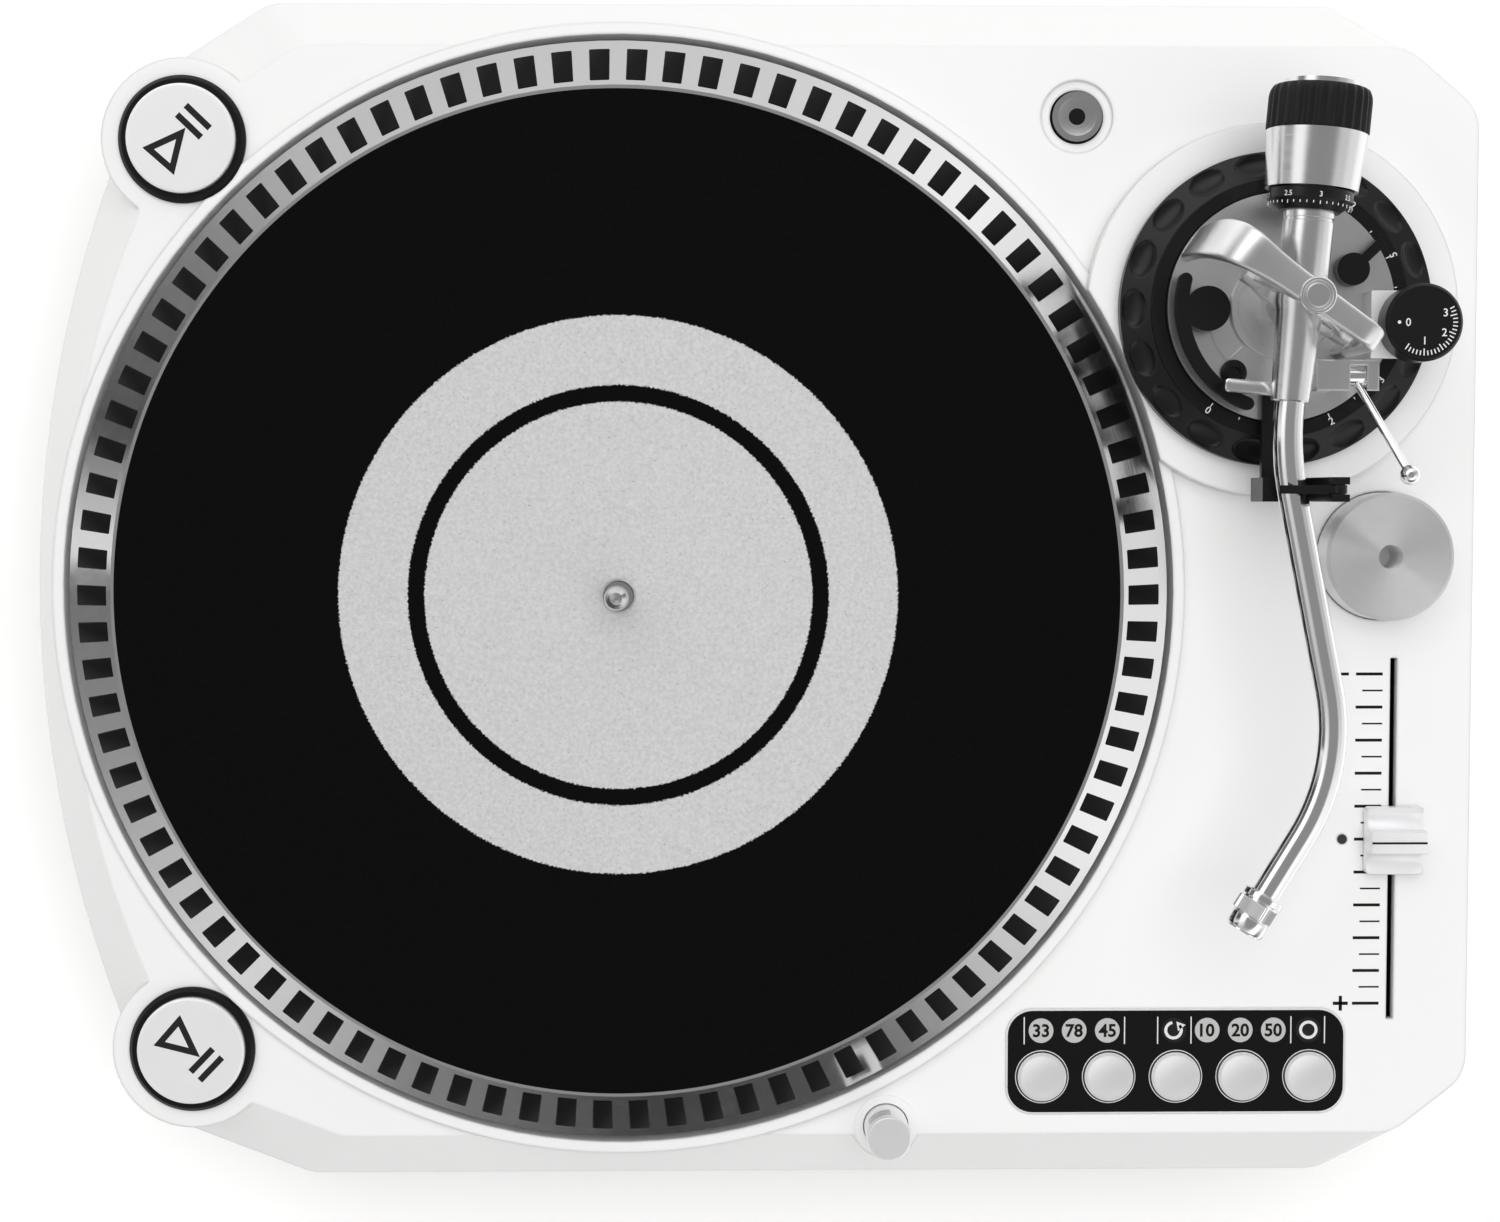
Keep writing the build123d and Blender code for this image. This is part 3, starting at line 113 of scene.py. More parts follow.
def scalar(label, text, default, **kind):
    """A number property, with a unit or subtype where it has one."""
    return FloatProperty(name=label, description=text, default=default, **kind)


def length(label, text, default_mm):
    """A length property, given in millimetres."""
    return scalar(label, text, default_mm * MM, unit="LENGTH", precision=5)


def whole(label, text, default):
    """A whole number property."""
    return IntProperty(name=label, description=text, default=default)


def colour(label, text, default):
    """A linear colour property."""
    kind = {"subtype": "COLOR", "size": 3, "min": 0, "max": 1}
    return FloatVectorProperty(name=label, description=text, default=default, **kind)


class CasingLook(bpy.types.PropertyGroup):
    """Casing and feet."""

    shell: colour("Shell", "Glossy white of the cover", (0.86, 0.86, 0.856))
    tray: colour("Tray", "Satin white of the tray", (0.72, 0.72, 0.715))
    edge: length("Edge", "Rounding of the moulded edges", 1.6)


class PlatterLook(bpy.types.PropertyGroup):
    """Platter, mat and spindle."""

    metal: colour("Metal", "Turned aluminium", (0.90, 0.90, 0.91))
    felt: colour("Felt", "Mat", (0.0035, 0.0035, 0.0037))
    ink: colour("Ink", "Printed disc on the mat", (0.58, 0.58, 0.58))
    disc_radius: length("Disc radius", "Radius of the printed disc", 83.0)
    band_radius: length("Band radius", "Middle radius of the bare band in the disc", 60.0)
    band_width: length("Band width", "Width of the bare band", 5.0)
    mark_count: whole("Marks", "Strobe marks round the rim", 90)
    mark_length: length("Mark length", "Length of a strobe mark down the slope", 12.6)
    mark_width: length("Mark width", "Width of a strobe mark at its middle", 6.0)
    mark_corner: length("Mark corner", "Corner radius of a strobe mark", 0.4)
    mark_shift: length("Mark shift", "From the middle of the slope towards its top", 0.8)
    mark_depth: length("Mark depth", "Depth of a strobe mark's underside", 0.58)
    mark_rise: length("Mark rise", "Height of a strobe mark's face above the slope", 0.22)
    rim_run: length("Rim run", "Width of the sloping rim in plan", 14.7)
    rim_drop: length("Rim drop", "Height of the sloping rim", 10.0)
    mat_hole: length("Mat hole", "Radius of the mat's hole", 4.6)
    mat_rim: length("Mat rim", "Rounding of the mat's edges", 0.6)
    mat_wave: length("Mat wave", "How far the felt sinks between its waves", 0.15)
    mat_wave_length: length("Mat wave length", "Radius over which the waves turn by one radian", 25.0)


class PrintLook(bpy.types.PropertyGroup):
    """Printed marks of the deck."""

    ink: colour("Ink", "Black print", (0.008, 0.008, 0.008))
    white: colour("White", "White print", (0.75, 0.75, 0.75))
    film: length("Film", "Height of the print above its surface", 0.06)
    tick_count: whole("Ticks", "Ticks beside the pitch fader", 21)
    tick_pitch: length("Tick pitch", "Distance between ticks", 5.08)
    tick_long: length("Long tick", "Length of every other tick", 8.2)
    tick_short: length("Short tick", "Length of the ticks between", 6.2)
    tick_end: length("Tick end", "From the fader's middle to the ticks' near end", 3.4)


class ArmLook(bpy.types.PropertyGroup):
    """Arm, counterweight and arm base."""

    chrome: colour("Chrome", "Polished tube", (0.95, 0.95, 0.95))
    satin: colour("Satin", "Satin silver castings", (0.86, 0.86, 0.865))
    steel: colour("Steel", "Brushed barrel", (0.86, 0.86, 0.86))
    ring: colour("Ring", "Black height ring", (0.006, 0.006, 0.0062))
    number_size: length("Number size", "Height of the ring's numbers", 2.2)
    ring_bore: length("Ring bore", "Inner radius of the height ring", 34.3)
    ring_step_radius: length("Ring step radius", "Where the ring's flat meets its sloping rim", 38.3)
    ring_step: length("Ring step", "Drop from the ring's flat to its sloping rim", 1.2)
    ring_rim: length("Ring rim", "Upright part of the ring's outside", 4.0)
    dimple_count: whole("Dimples", "Finger dimples round the height ring", 18)
    dimple_circle: length("Dimple circle", "Radius of the dimples' circle", 42.9)
    dimple_length: length("Dimple length", "Length of a dimple round the ring", 11.0)
    dimple_width: length("Dimple width", "Width of a dimple across the ring", 6.6)
    dimple_depth: length("Dimple depth", "Depth of a dimple", 1.3)


class StageLook(bpy.types.PropertyGroup):
    """Floor, light and camera."""

    floor: colour("Floor", "Plain pale floor", (0.97, 0.965, 0.96))
    backdrop: scalar("Backdrop", "White added to the floor as it is seen", 0.13)
    world: scalar("World", "Strength of the soft room light", 0.78)
    key: scalar("Key", "Power of the large overhead lamp", 13.0, unit="POWER")
    focal_pixels: scalar("Focal length", "In pixels of the picture's width", 2380.0)
    height: length("Height", "Camera above the floor", 817.9)
    right: length("Right", "Camera to the right of the middle", -12.2)
    rear: length("Rear", "Camera to the rear of the middle", 30.7)
    pitch: scalar("Pitch", "Lean about X", math.radians(-2.77), subtype="ANGLE")
    roll: scalar("Roll", "Lean about Y", math.radians(-0.91), subtype="ANGLE")


# Surfaces

class Shape:
    """Points and faces of one closed surface."""

    def __init__(self, points, faces):
        self.points = np.asarray(points, float).reshape(-1, 3)
        self.faces = [list(face) for face in faces]

    def placed(self, matrix):
        """The same surface, moved by a 4x4 matrix."""
        m = np.array(matrix)
        return Shape(self.points @ m[:3, :3].T + m[:3, 3], self.faces)


def mm(rows, level=0.0):
    """Rows of millimetres in metres; the second column is measured from a level."""
    rows = np.array(rows, float) * MM
    rows[:, 1] += level
    return rows


def grid_faces(rows, columns, wrap_rows=False):
    """Quads (i, j), (i+1, j), (i+1, j+1), (i, j+1) of a grid whose columns run round."""
    i, j = np.meshgrid(np.arange(rows if wrap_rows else rows - 1), np.arange(columns), indexing="ij")
    below, beside = (i + 1) % rows, (j + 1) % columns
    corners = [i * columns + j, below * columns + j, below * columns + beside, i * columns + beside]
    return np.stack(corners, -1).reshape(-1, 4).tolist()


def capped_faces(rows, columns):
    """The quads of a grid, with a face across each end."""
    last = columns * (rows - 1)
    ends = [list(range(columns))[::-1], list(range(last, last + columns))]
    return grid_faces(rows, columns) + ends


def axis_frame(axis):
    """An axis as a unit vector, and two unit vectors square to it."""
    axis = Vector(axis).normalized()
    side = axis.cross(UP) if abs(axis.z) < NEARLY_UP else Vector((1, 0, 0))
    side.normalize()
    return np.array(axis), np.array(side), np.array(axis.cross(side))


def turned(profile, centre, axis=UP, segments=96, flutes=0, wrap=False):
    """Surface of revolution: point = centre + axis·s + R·(side·cos θ + other·sin θ).

    R = r − d(1 − cos nθ)/2 with n flutes. Profile rows are (radius r, distance along s, flute depth d);
    wrap closes the profile into a ring.
    """
    rows = np.array([(*row, 0.0)[:3] for row in profile], float)
    along, side, other = axis_frame(axis)
    theta = np.linspace(0, 2 * math.pi, segments, endpoint=False)
    radius = rows[:, :1] - rows[:, 2:] * (1 - np.cos(flutes * theta)) / 2
    spokes = np.outer(np.cos(theta), side) + np.outer(np.sin(theta), other)
    points = np.array(centre) + rows[:, 1, None, None] * along + radius[..., None] * spokes
    return Shape(points, grid_faces(len(rows), segments, wrap_rows=wrap))


def stroke(path, width, low, high, closed=False):
    """Flat bar along a plan path: each path point is pushed half a width to both sides along its mitre."""
    path = np.array(path, float)
    after, before = np.roll(path, -1, 0) - path, path - np.roll(path, 1, 0)
    if not closed:
        after[-1], before[0] = before[-1], after[0]
    first, second = (np.stack([-v[:, 1], v[:, 0]], -1) / np.linalg.norm(v, axis=1)[:, None]
                     for v in (before, after))
    mitre = (first + second) / (1 + (first * second).sum(1))[:, None]
    left, right = path + mitre * width / 2, path - mitre * width / 2
    corners = [(left, low), (left, high), (right, high), (right, low)]
    points = np.stack([np.c_[edge, np.full(len(path), level)] for edge, level in corners], 1)
    sides = len(corners)
    faces = grid_faces(len(path), sides, wrap_rows=True) if closed else capped_faces(len(path), sides)
    return Shape(points, faces)


def on_circle(centre, radius, angle_deg):
    """Plan point on a circle."""
    angle = math.radians(angle_deg)
    return Vector((centre.x + radius * math.cos(angle), centre.y + radius * math.sin(angle)))


def arc(centre, radius, start, end, count=24):
    """Plan points on a circle, from one angle to another, in degrees."""
    theta = np.radians(np.linspace(start, end, count))
    return np.c_[centre[0] + radius * np.cos(theta), centre[1] + radius * np.sin(theta)]


def rounded_outline(size_x, size_y, corner, count=6):
    """Plan outline of a rectangle with round corners, anticlockwise."""
    half = np.array([size_x / 2 - corner, size_y / 2 - corner])
    signs = ((1, 1), (-1, 1), (-1, -1), (1, -1))
    quarters = [arc(half * s, corner, 90 * q, 90 * q + 90, count) for q, s in enumerate(signs)]
    return np.concatenate(quarters)


def plate(outline, low, high, bevel=0.0):
    """Flat plate: the outline at three levels, drawn in by bevel at the top, with a face at each end."""
    outline = np.array(outline, float)
    inner = outline - bevel * np.sign(outline - outline.mean(0))
    rings = [(outline, low), (outline, high - bevel), (inner, high)]
    points = np.concatenate([np.c_[ring, np.full(len(ring), level)] for ring, level in rings])
    return Shape(points, capped_faces(len(rings), len(outline)))


def disc(place, radius, low, high, segments=48):
    """Short upright cylinder."""
    profile = [(0, low), (radius, low), (radius, high), (0, high)]
    return turned(profile, place, segments=segments)


def eased(rows, rounds=3):
    """Rows with cut corners: each pass puts points at a quarter and three quarters of every side."""
    rows = np.array(rows, float)
    for _ in range(rounds):
        near, far = rows[:-1], rows[1:]
        cut = np.stack([0.75 * near + 0.25 * far, 0.25 * near + 0.75 * far], 1)
        rows = np.concatenate([rows[:1], cut.reshape(-1, rows.shape[1]), rows[-1:]])
    return rows


def swept(rows, origin, forwards, corner):
    """Bar bent in an upright plane: point = origin + forwards·s + up·z + side·u + normal·v.

    Rows are (s, z, width, thickness); (u, v) runs round a rectangle of that width and thickness.
    """
    rows = np.array(rows, float)
    forwards = np.array(Vector(forwards).normalized())
    up = np.array(UP)
    side = np.cross(up, forwards)
    tangent = np.gradient(rows[:, :2], axis=0)
    tangent /= np.linalg.norm(tangent, axis=1)[:, None]
    normal = -tangent[:, 1:] * forwards + tangent[:, :1] * up
    spine = np.array(origin) + rows[:, :1] * forwards + rows[:, 1:2] * up
    outlines = np.stack([rounded_outline(width, thickness, corner, 4) for width, thickness in rows[:, 2:]])
    points = spine[:, None] + outlines[..., :1] * side + outlines[..., 1:] * normal[:, None]
    return Shape(points, capped_faces(*points.shape[:2]))


def lettering(text, size, depth, weight=0.012):
    """A number as a flat solid in the XY plane, centred on the origin; weight thickens its strokes."""
    curve = bpy.data.curves.new(text, "FONT")
    curve.body = text
    curve.size = size * EM_PER_DIGIT
    curve.align_x = "CENTER"
    curve.align_y = "CENTER"
    curve.extrude = depth / 2
    curve.offset = size * weight
    curve.resolution_u = 3
    holder = bpy.data.objects.new(text, curve)
    mesh = bpy.data.meshes.new_from_object(holder)
    points = np.zeros(len(mesh.vertices) * 3)
    mesh.vertices.foreach_get("co", points)
    shape = Shape(points, [polygon.vertices for polygon in mesh.polygons])
    bpy.data.objects.remove(holder)
    bpy.data.curves.remove(curve)
    bpy.data.meshes.remove(mesh)
    flat = shape.points[:, :2]
    flat -= (flat.max(0) + flat.min(0)) / 2
    return shape


def at(place, turn_deg=0.0):
    """Matrix that turns about Z and then moves to a place."""
    return Matrix.Translation(Vector(place)) @ Matrix.Rotation(math.radians(turn_deg), 4, "Z")


def make_piece(name, shapes, finish, body, slot, replaces=None):
    """One object from several shapes, with merged doubles and outward faces, riding on a body.

    replaces names the CAD node that the piece stands for, if there is one.
    """
    offsets = np.cumsum([0] + [len(shape.points) for shape in shapes[:-1]])
    faces = [[i + int(offset) for i in face]
             for shape, offset in zip(shapes, offsets) for face in shape.faces]
    mesh = bpy.data.meshes.new(name)
    mesh.from_pydata(np.concatenate([shape.points for shape in shapes]).tolist(), [], faces)
    work = bmesh.new()
    work.from_mesh(mesh)
    bmesh.ops.remove_doubles(work, verts=work.verts, dist=MERGE)
    bmesh.ops.recalc_face_normals(work, faces=work.faces)
    work.to_mesh(mesh)
    work.free()
    mesh.polygons.foreach_set("use_smooth", np.ones(len(mesh.polygons), bool))
    mesh.set_sharp_from_angle(angle=SHARP)
    mesh.materials.append(finish)
    piece = bpy.data.objects.new(name, mesh)
    bpy.context.scene.collection.objects.link(piece)
    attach(piece, body)
    if replaces:
        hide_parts(replaces)
    return piece


# Shader arithmetic

def math_node(operation, swap=False):
    """A method of Value that adds one Math node; swap puts the other term first."""
    def method(self, *others):
        terms = (*others, self) if swap else (self, *others)
        return self.shader.node("ShaderNodeMath", {"operation": operation}, dict(enumerate(terms)))
    return method


class Value:
    """A shader socket in Python arithmetic: each operator adds one Math node."""

    def __init__(self, shader, socket):
        self.shader = shader
        self.socket = socket

    __add__ = __radd__ = math_node("ADD")
    __mul__ = __rmul__ = math_node("MULTIPLY")
    __sub__ = math_node("SUBTRACT")
    __rsub__ = math_node("SUBTRACT", swap=True)
    __truediv__ = math_node("DIVIDE")
    __lt__ = math_node("LESS_THAN")
    __abs__ = math_node("ABSOLUTE")
    cosine = math_node("COSINE")
    arctan2 = math_node("ARCTAN2")

    def ramp(self, low, high):
        """0 below low, 1 above high, smooth between."""
        settings = {"interpolation_type": "SMOOTHSTEP"}
        return self.shader.node("ShaderNodeMapRange", settings, {0: self, 1: low, 2: high})


class Shader:
    """A node tree with one method that adds any node."""

    def __init__(self, owner):
        owner.use_nodes = True
        self.tree = owner.node_tree
        self.tree.nodes.clear()

    def node(self, kind, settings=None, inputs=None, output=0):
        """Adds a node, sets its settings first, then values or links of its sockets."""
        made = self.tree.nodes.new(kind)
        settings = dict(settings or {})
        stops = settings.pop("stops", ())
        for key, value in settings.items():
            setattr(made, key, value)
        for index, (place, level) in enumerate(stops):
            stop = made.color_ramp.elements[0] if index == 0 else made.color_ramp.elements.new(place)
            stop.position = place
            stop.color = (level, level, level, 1)
        for key, value in (inputs or {}).items():
            if isinstance(value, Value):
                self.tree.links.new(value.socket, made.inputs[key])
            else:
                made.inputs[key].default_value = value
        return Value(self, made.outputs[output]) if made.outputs else None

    def vector(self, operation, *terms, output=0):
        """Vector arithmetic."""
        return self.node("ShaderNodeVectorMath", {"operation": operation}, dict(enumerate(terms)), output)

    def mix(self, factor, first, second):
        """Mix of two colours."""
        settings = {"data_type": "RGBA"}
        return self.node("ShaderNodeMix", settings, {0: factor, 6: first, 7: second}, 2)

    def parts(self, vector):
        """X, Y and Z of a vector."""
        split = self.node("ShaderNodeSeparateXYZ", None, {0: vector}).socket.node
        return [Value(self, socket) for socket in split.outputs]


def rgba(colour_value, share=1.0):
    """A colour with full alpha, darker or lighter by a share."""
    return (*(min(1.0, c * share) for c in colour_value), 1.0)


class Finish(Shader):
    """A material: object coordinates, noises, bumps and one Principled surface."""

    def __init__(self, name):
        self.material = bpy.data.materials.new(name)
        super().__init__(self.material)
        self.place = self.node("ShaderNodeTexCoord", output="Object")

    def noise(self, scale, detail=3.0):
        """Soft noise from 0 to 1; scale is in features per metre."""
        point = self.vector("MULTIPLY", self.place, (scale, scale, scale))
        return self.node("ShaderNodeTexNoise", None, {"Vector": point, "Scale": 1.0, "Detail": detail})

    def uneven(self, level, spread, scale):
        """A value that drifts round a level, by half a spread each way."""
        return self.noise(scale) * spread + (level - spread / 2)

    def tint(self, base, share, scale):
        """A colour that drifts over the surface, darker by up to a share."""
        return self.mix(self.noise(scale), rgba(base, 1 - share), rgba(base))

    def radius(self, centre):
        """Distance from an upright axis, and the direction away from it."""
        offset = self.vector("SUBTRACT", self.place, tuple(centre))
        flat = self.vector("MULTIPLY", offset, (1, 1, 0))
        return self.vector("LENGTH", flat, output="Value"), self.vector("NORMALIZE", flat)

    def grooves(self, coordinate, direction, depth):
        """Normal that leans along a direction of the piece, by its own amount in each groove."""
        row = self.node("ShaderNodeTexNoise", {"noise_dimensions": "1D"},
                        {"W": coordinate / GROOVE_PITCH, "Scale": 1.0, "Detail": 1.0})
        settings = {"vector_type": "VECTOR", "convert_from": "OBJECT", "convert_to": "WORLD"}
        way = self.node("ShaderNodeVectorTransform", settings, {0: direction})
        lean = {0: way, "Scale": (row - 0.5) * depth}
        step = self.node("ShaderNodeVectorMath", {"operation": "SCALE"}, lean)
        normal = self.node("ShaderNodeNewGeometry", output="Normal")
        return self.vector("NORMALIZE", self.vector("ADD", normal, step))

    def edges(self, radius):
        """Normal that rounds sharp edges."""
        return self.node("ShaderNodeBevel", {"samples": 6}, {"Radius": radius})

    def bump(self, height, strength, edge=0.0, distance=GRAIN_DEPTH):
        """Bump from a height, over rounded edges where an edge radius is given."""
        inputs = {"Height": height, "Strength": strength, "Distance": distance}
        if edge:
            inputs["Normal"] = self.edges(edge)
        return self.node("ShaderNodeBump", None, inputs)

    def done(self, **sockets):
        """The Principled surface with its sockets, underscores for spaces."""
        names = {key.replace("_", " "): value for key, value in sockets.items()}
        surface = self.node("ShaderNodeBsdfPrincipled", None, names)
        self.node("ShaderNodeOutputMaterial", None, {"Surface": surface})
        return self.material


# Finishes

def moulded(name, base, roughness, edge=0.0, grain=0.02, shine=0.5):
    """Moulded plastic: faint drift of colour, fine grain and rounded edges."""
    finish = Finish(name)
    return finish.done(
        Base_Color=finish.tint(base, share=0.03, scale=14.0),
        Roughness=finish.uneven(roughness, spread=0.08, scale=60.0),
        Specular_IOR_Level=shine,
        Normal=finish.bump(finish.noise(900.0), grain, edge),
    )


def glossy_shell(name, base, edge):
    """Polished moulding under a thin clear coat, with rounded edges."""
    finish = Finish(name)
    return finish.done(
        Base_Color=finish.tint(base, share=0.02, scale=14.0),
        Roughness=0.26,
        Coat_Weight=0.25,
        Coat_Roughness=0.06,
        Normal=finish.edges(edge),
    )


def turned_metal(name, base, centre, roughness, depth=0.5):
    """Metal turned on a lathe: each groove leans towards or away from an upright axis."""
    finish = Finish(name)
    radius, outwards = finish.radius(centre)
    return finish.done(
        Base_Color=finish.tint(base, share=0.06, scale=40.0),
        Metallic=1.0,
        Roughness=finish.uneven(roughness, spread=0.08, scale=300.0),
        Normal=finish.grooves(radius, outwards, depth),
    )


def brushed_metal(name, base, along, roughness=0.2, depth=0.5):
    """Metal brushed round an axis: each scratch leans along that axis."""
    finish = Finish(name)
    coordinate = finish.vector("DOT_PRODUCT", finish.place, tuple(along), output="Value")
    return finish.done(
        Base_Color=finish.tint(base, share=0.06, scale=60.0),
        Metallic=1.0,
        Roughness=finish.uneven(roughness, spread=0.08, scale=200.0),
        Normal=finish.grooves(coordinate, tuple(along), depth),
    )


def spun_metal(name, base, roughness):
    """Metal with fine rings round its middle: highlights run out along the spokes."""
    finish = Finish(name)
    return finish.done(
        Base_Color=finish.tint(base, share=0.06, scale=400.0),
        Metallic=0.8,
        Roughness=roughness,
        Anisotropic=1.0,
        Anisotropic_Rotation=0.25,
    )


def plain_metal(name, base, roughness, edge=0.0):
    """Cast, satin or plated metal with rounded edges and faint unevenness."""
    finish = Finish(name)
    return finish.done(
        Base_Color=finish.tint(base, share=0.05, scale=50.0),
        Metallic=1.0,
        Roughness=finish.uneven(roughness, spread=0.4 * roughness, scale=120.0),
        Normal=finish.bump(finish.noise(1500.0), 0.01, edge),
    )


def satin_silver(name, base, edge, metallic=0.4):
    """Satin silver paint over metal: part metal, part soft scatter, with fine grain."""
    finish = Finish(name)
    return finish.done(
        Base_Color=finish.tint(base, share=0.05, scale=50.0),
        Metallic=metallic,
        Roughness=finish.uneven(0.45, spread=0.1, scale=400.0),
        Normal=finish.bump(finish.noise(3000.0), 0.03, edge),
    )


def ink(name, base):
    """Screen print: a film with slightly uneven cover."""
    finish = Finish(name)
    cover = finish.tint(base, share=0.12, scale=800.0)
    return finish.done(Base_Color=cover, Roughness=0.45, Specular_IOR_Level=0.15)


def printed_felt(look, centre):
    """Napped felt with a printed disc: fibres show through the ink, and its edge is ragged."""
    finish = Finish("mat_felt")
    fibres, nap = finish.noise(900.0, detail=6.0), finish.noise(2600.0, detail=4.0)
    radius, _ = finish.radius(centre)
    raggedness, blur, half_band = 1.6 * MM, 0.2 * MM, look.band_width / 2
    ragged = radius + (finish.noise(1400.0, detail=4.0) - 0.5) * raggedness
    printed = 1 - ragged.ramp(look.disc_radius - blur, look.disc_radius + blur)
    band = abs(ragged - look.band_radius).ramp(half_band - blur, half_band + blur)
    gaps = (finish.noise(2100.0, detail=5.0) - 0.12 * fibres).ramp(0.60, 0.68)
    cloth = finish.mix(nap, rgba(look.felt, 0.4), rgba(look.felt, 1.8))
    paint = finish.mix(fibres, rgba(look.ink, 0.72), rgba(look.ink, 1.16))
    return finish.done(
        Base_Color=finish.mix((1 - gaps) * printed * band, cloth, paint),
        Roughness=0.95,
        Specular_IOR_Level=0.04,
        Normal=finish.bump(fibres * 0.6 + nap, 0.5, distance=0.4 * MM),
    )


def dark_glass(name, base):
    """Smoked lens."""
    finish = Finish(name)
    smoke = finish.tint(base, share=0.2, scale=600.0)
    return finish.done(Base_Color=smoke, Roughness=0.06, Coat_Weight=1.0)


def lit_legends():
    """Lit grey discs; the two that carry plain signs stay dark."""
    finish = Finish("legend_lit")
    x, _, _ = finish.parts(finish.place)
    signs, reach, black = (129.7 * MM, 171.1 * MM), 4.5 * MM, (0.006, 0.006, 0.0065)
    first, second = (abs(x - sign) < reach for sign in signs)
    lit = finish.tint((0.50, 0.50, 0.49), share=0.1, scale=900.0)
    return finish.done(Base_Color=finish.mix(first + second, lit, rgba(black)), Roughness=0.35)


def circuit_board():
    """Lacquered board with fine traces."""
    finish = Finish("board_lacquer")
    waves = {"Vector": finish.place, "Scale": 260.0, "Distortion": 6.0}
    lines = finish.node("ShaderNodeTexWave", {"bands_direction": "DIAGONAL"}, waves, "Fac")
    lacquer, trace = (0.012, 0.06, 0.03, 1), (0.03, 0.15, 0.075, 1)
    return finish.done(Base_Color=finish.mix(lines.ramp(0.62, 0.66), lacquer, trace), Roughness=0.35)


def floor_paper(base, backdrop):
    """Matt paper that looks a little whiter than its light makes it, in the picture and in mirrors."""
    finish = Finish("floor_paper")
    camera, glossy, through = (finish.node("ShaderNodeLightPath", output=f"Is {ray} Ray")
                               for ray in ("Camera", "Glossy", "Transmission"))
    return finish.done(
        Base_Color=rgba(base),
        Roughness=0.9,
        Specular_IOR_Level=0.1,
        Emission_Color=(camera + glossy + through) * backdrop,
        Emission_Strength=1.0,
    )


def dress(finish, *nodes):
    """A finish on CAD nodes."""
    for name in nodes:
        mesh = frame["nodes"][name].data
        mesh.materials.clear()
        mesh.materials.append(finish)


# Pieces

class PLAYER_OT_casing(bpy.types.Operator):
    """Cover, tray, feet and their screws."""

    bl_idname = "player.casing"
    bl_label = "Casing"

    def execute(self, context):
        look = context.scene.player_casing
        dress(glossy_shell("shell_white", look.shell, look.edge), "top_cover")
        dress(moulded("tray_white", look.tray, 0.5, look.edge), "base_tray")
        dress(moulded("foot_black", (0.02, 0.02, 0.02), 0.55), "feet")
        dress(moulded("pad_rubber", (0.015, 0.015, 0.015), 0.85, grain=0.2), "foot_pads")
        dress(plain_metal("screw_zinc", (0.55, 0.55, 0.53), 0.35), "cover_screws")
        return {"FINISHED"}


def strobe_marks(look):
    """Bevelled plates over the recesses of the sloping rim, each turned on by one step round the platter.

    A mark's width grows along the slope by 1 + x·cos(lean)/r, so that its sides lie on spokes.
    """
    _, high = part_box("platter")
    slope = math.hypot(look.rim_run, look.rim_drop)
    down = Vector((look.rim_run, 0, -look.rim_drop)) / slope
    outwards = Vector((look.rim_drop, 0, look.rim_run)) / slope
    centre = Vector((half_span("platter") - look.rim_run / 2, 0, high.z - look.rim_drop / 2))
    seat = Matrix((down, Vector((0, 1, 0)), outwards)).transposed().to_4x4()
    seat.translation = centre - down * look.mark_shift
    axis = Matrix.Translation(foot(PLATTER))
    outline = rounded_outline(look.mark_length, look.mark_width, look.mark_corner)
    outline[:, 1] *= 1 + outline[:, 0] * down.x / centre.x
    mark = plate(outline, -look.mark_depth, look.mark_rise, look.mark_rise)
    turns = np.linspace(0, 2 * math.pi, look.mark_count, endpoint=False)
    return [mark.placed(axis @ Matrix.Rotation(turn, 4, "Z") @ seat) for turn in turns]


def felt_disc(look):
    """Mat: a flat ring with rounded rims, whose top sinks by w·(1 − cos(3θ + r/l))/2."""
    low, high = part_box("slipmat")
    outer, hole, rim = half_span("slipmat"), look.mat_hole, look.mat_rim
    bevel = np.linspace(0, math.pi / 2, 5)
    edge = np.c_[outer - rim + rim * np.cos(bevel), high.z - rim + rim * np.sin(bevel)]
    top = np.linspace(outer - rim, hole + rim, 60)[1:]
    profile = [(hole, low.z), (outer - rim, low.z), (outer, low.z + rim)]
    profile += [tuple(row) for row in edge] + [(r, high.z) for r in top] + [(hole, high.z - rim)]
    shape = turned(profile, foot(PLATTER), segments=288, wrap=True)
    x, y, z = (shape.points - np.array(foot(PLATTER))).T
    wave = 1 - np.cos(3 * np.arctan2(y, x) + np.hypot(x, y) / look.mat_wave_length)
    shape.points[:, 2] -= np.where(z > high.z - MERGE, look.mat_wave * wave / 2, 0)
    return shape


class PLAYER_OT_platter(bpy.types.Operator):
    """Platter with its strobe marks, felt mat, spindle and magnet."""

    bl_idname = "player.platter"
    bl_label = "Platter"

    def execute(self, context):
        look = context.scene.player_platter
        dress(turned_metal("platter_turned", look.metal, PLATTER, 0.14, depth=0.2), "platter")
        dress(plain_metal("spindle_polished", (0.75, 0.75, 0.75), 0.12), "spindle")
        dress(plain_metal("magnet_ferrite", (0.06, 0.06, 0.065), 0.6), "rotor_magnet")
        black = moulded("mark_black", (0.003, 0.003, 0.003), 0.45, shine=0.12)
        make_piece("strobe_marks", strobe_marks(look), black, "platter", "black_satin")
        felt = printed_felt(look, PLATTER)
        mat = make_piece("felt_mat", [felt_disc(look)], felt, "slipmat", "felt", replaces="slipmat")
        return {"FINISHED"}


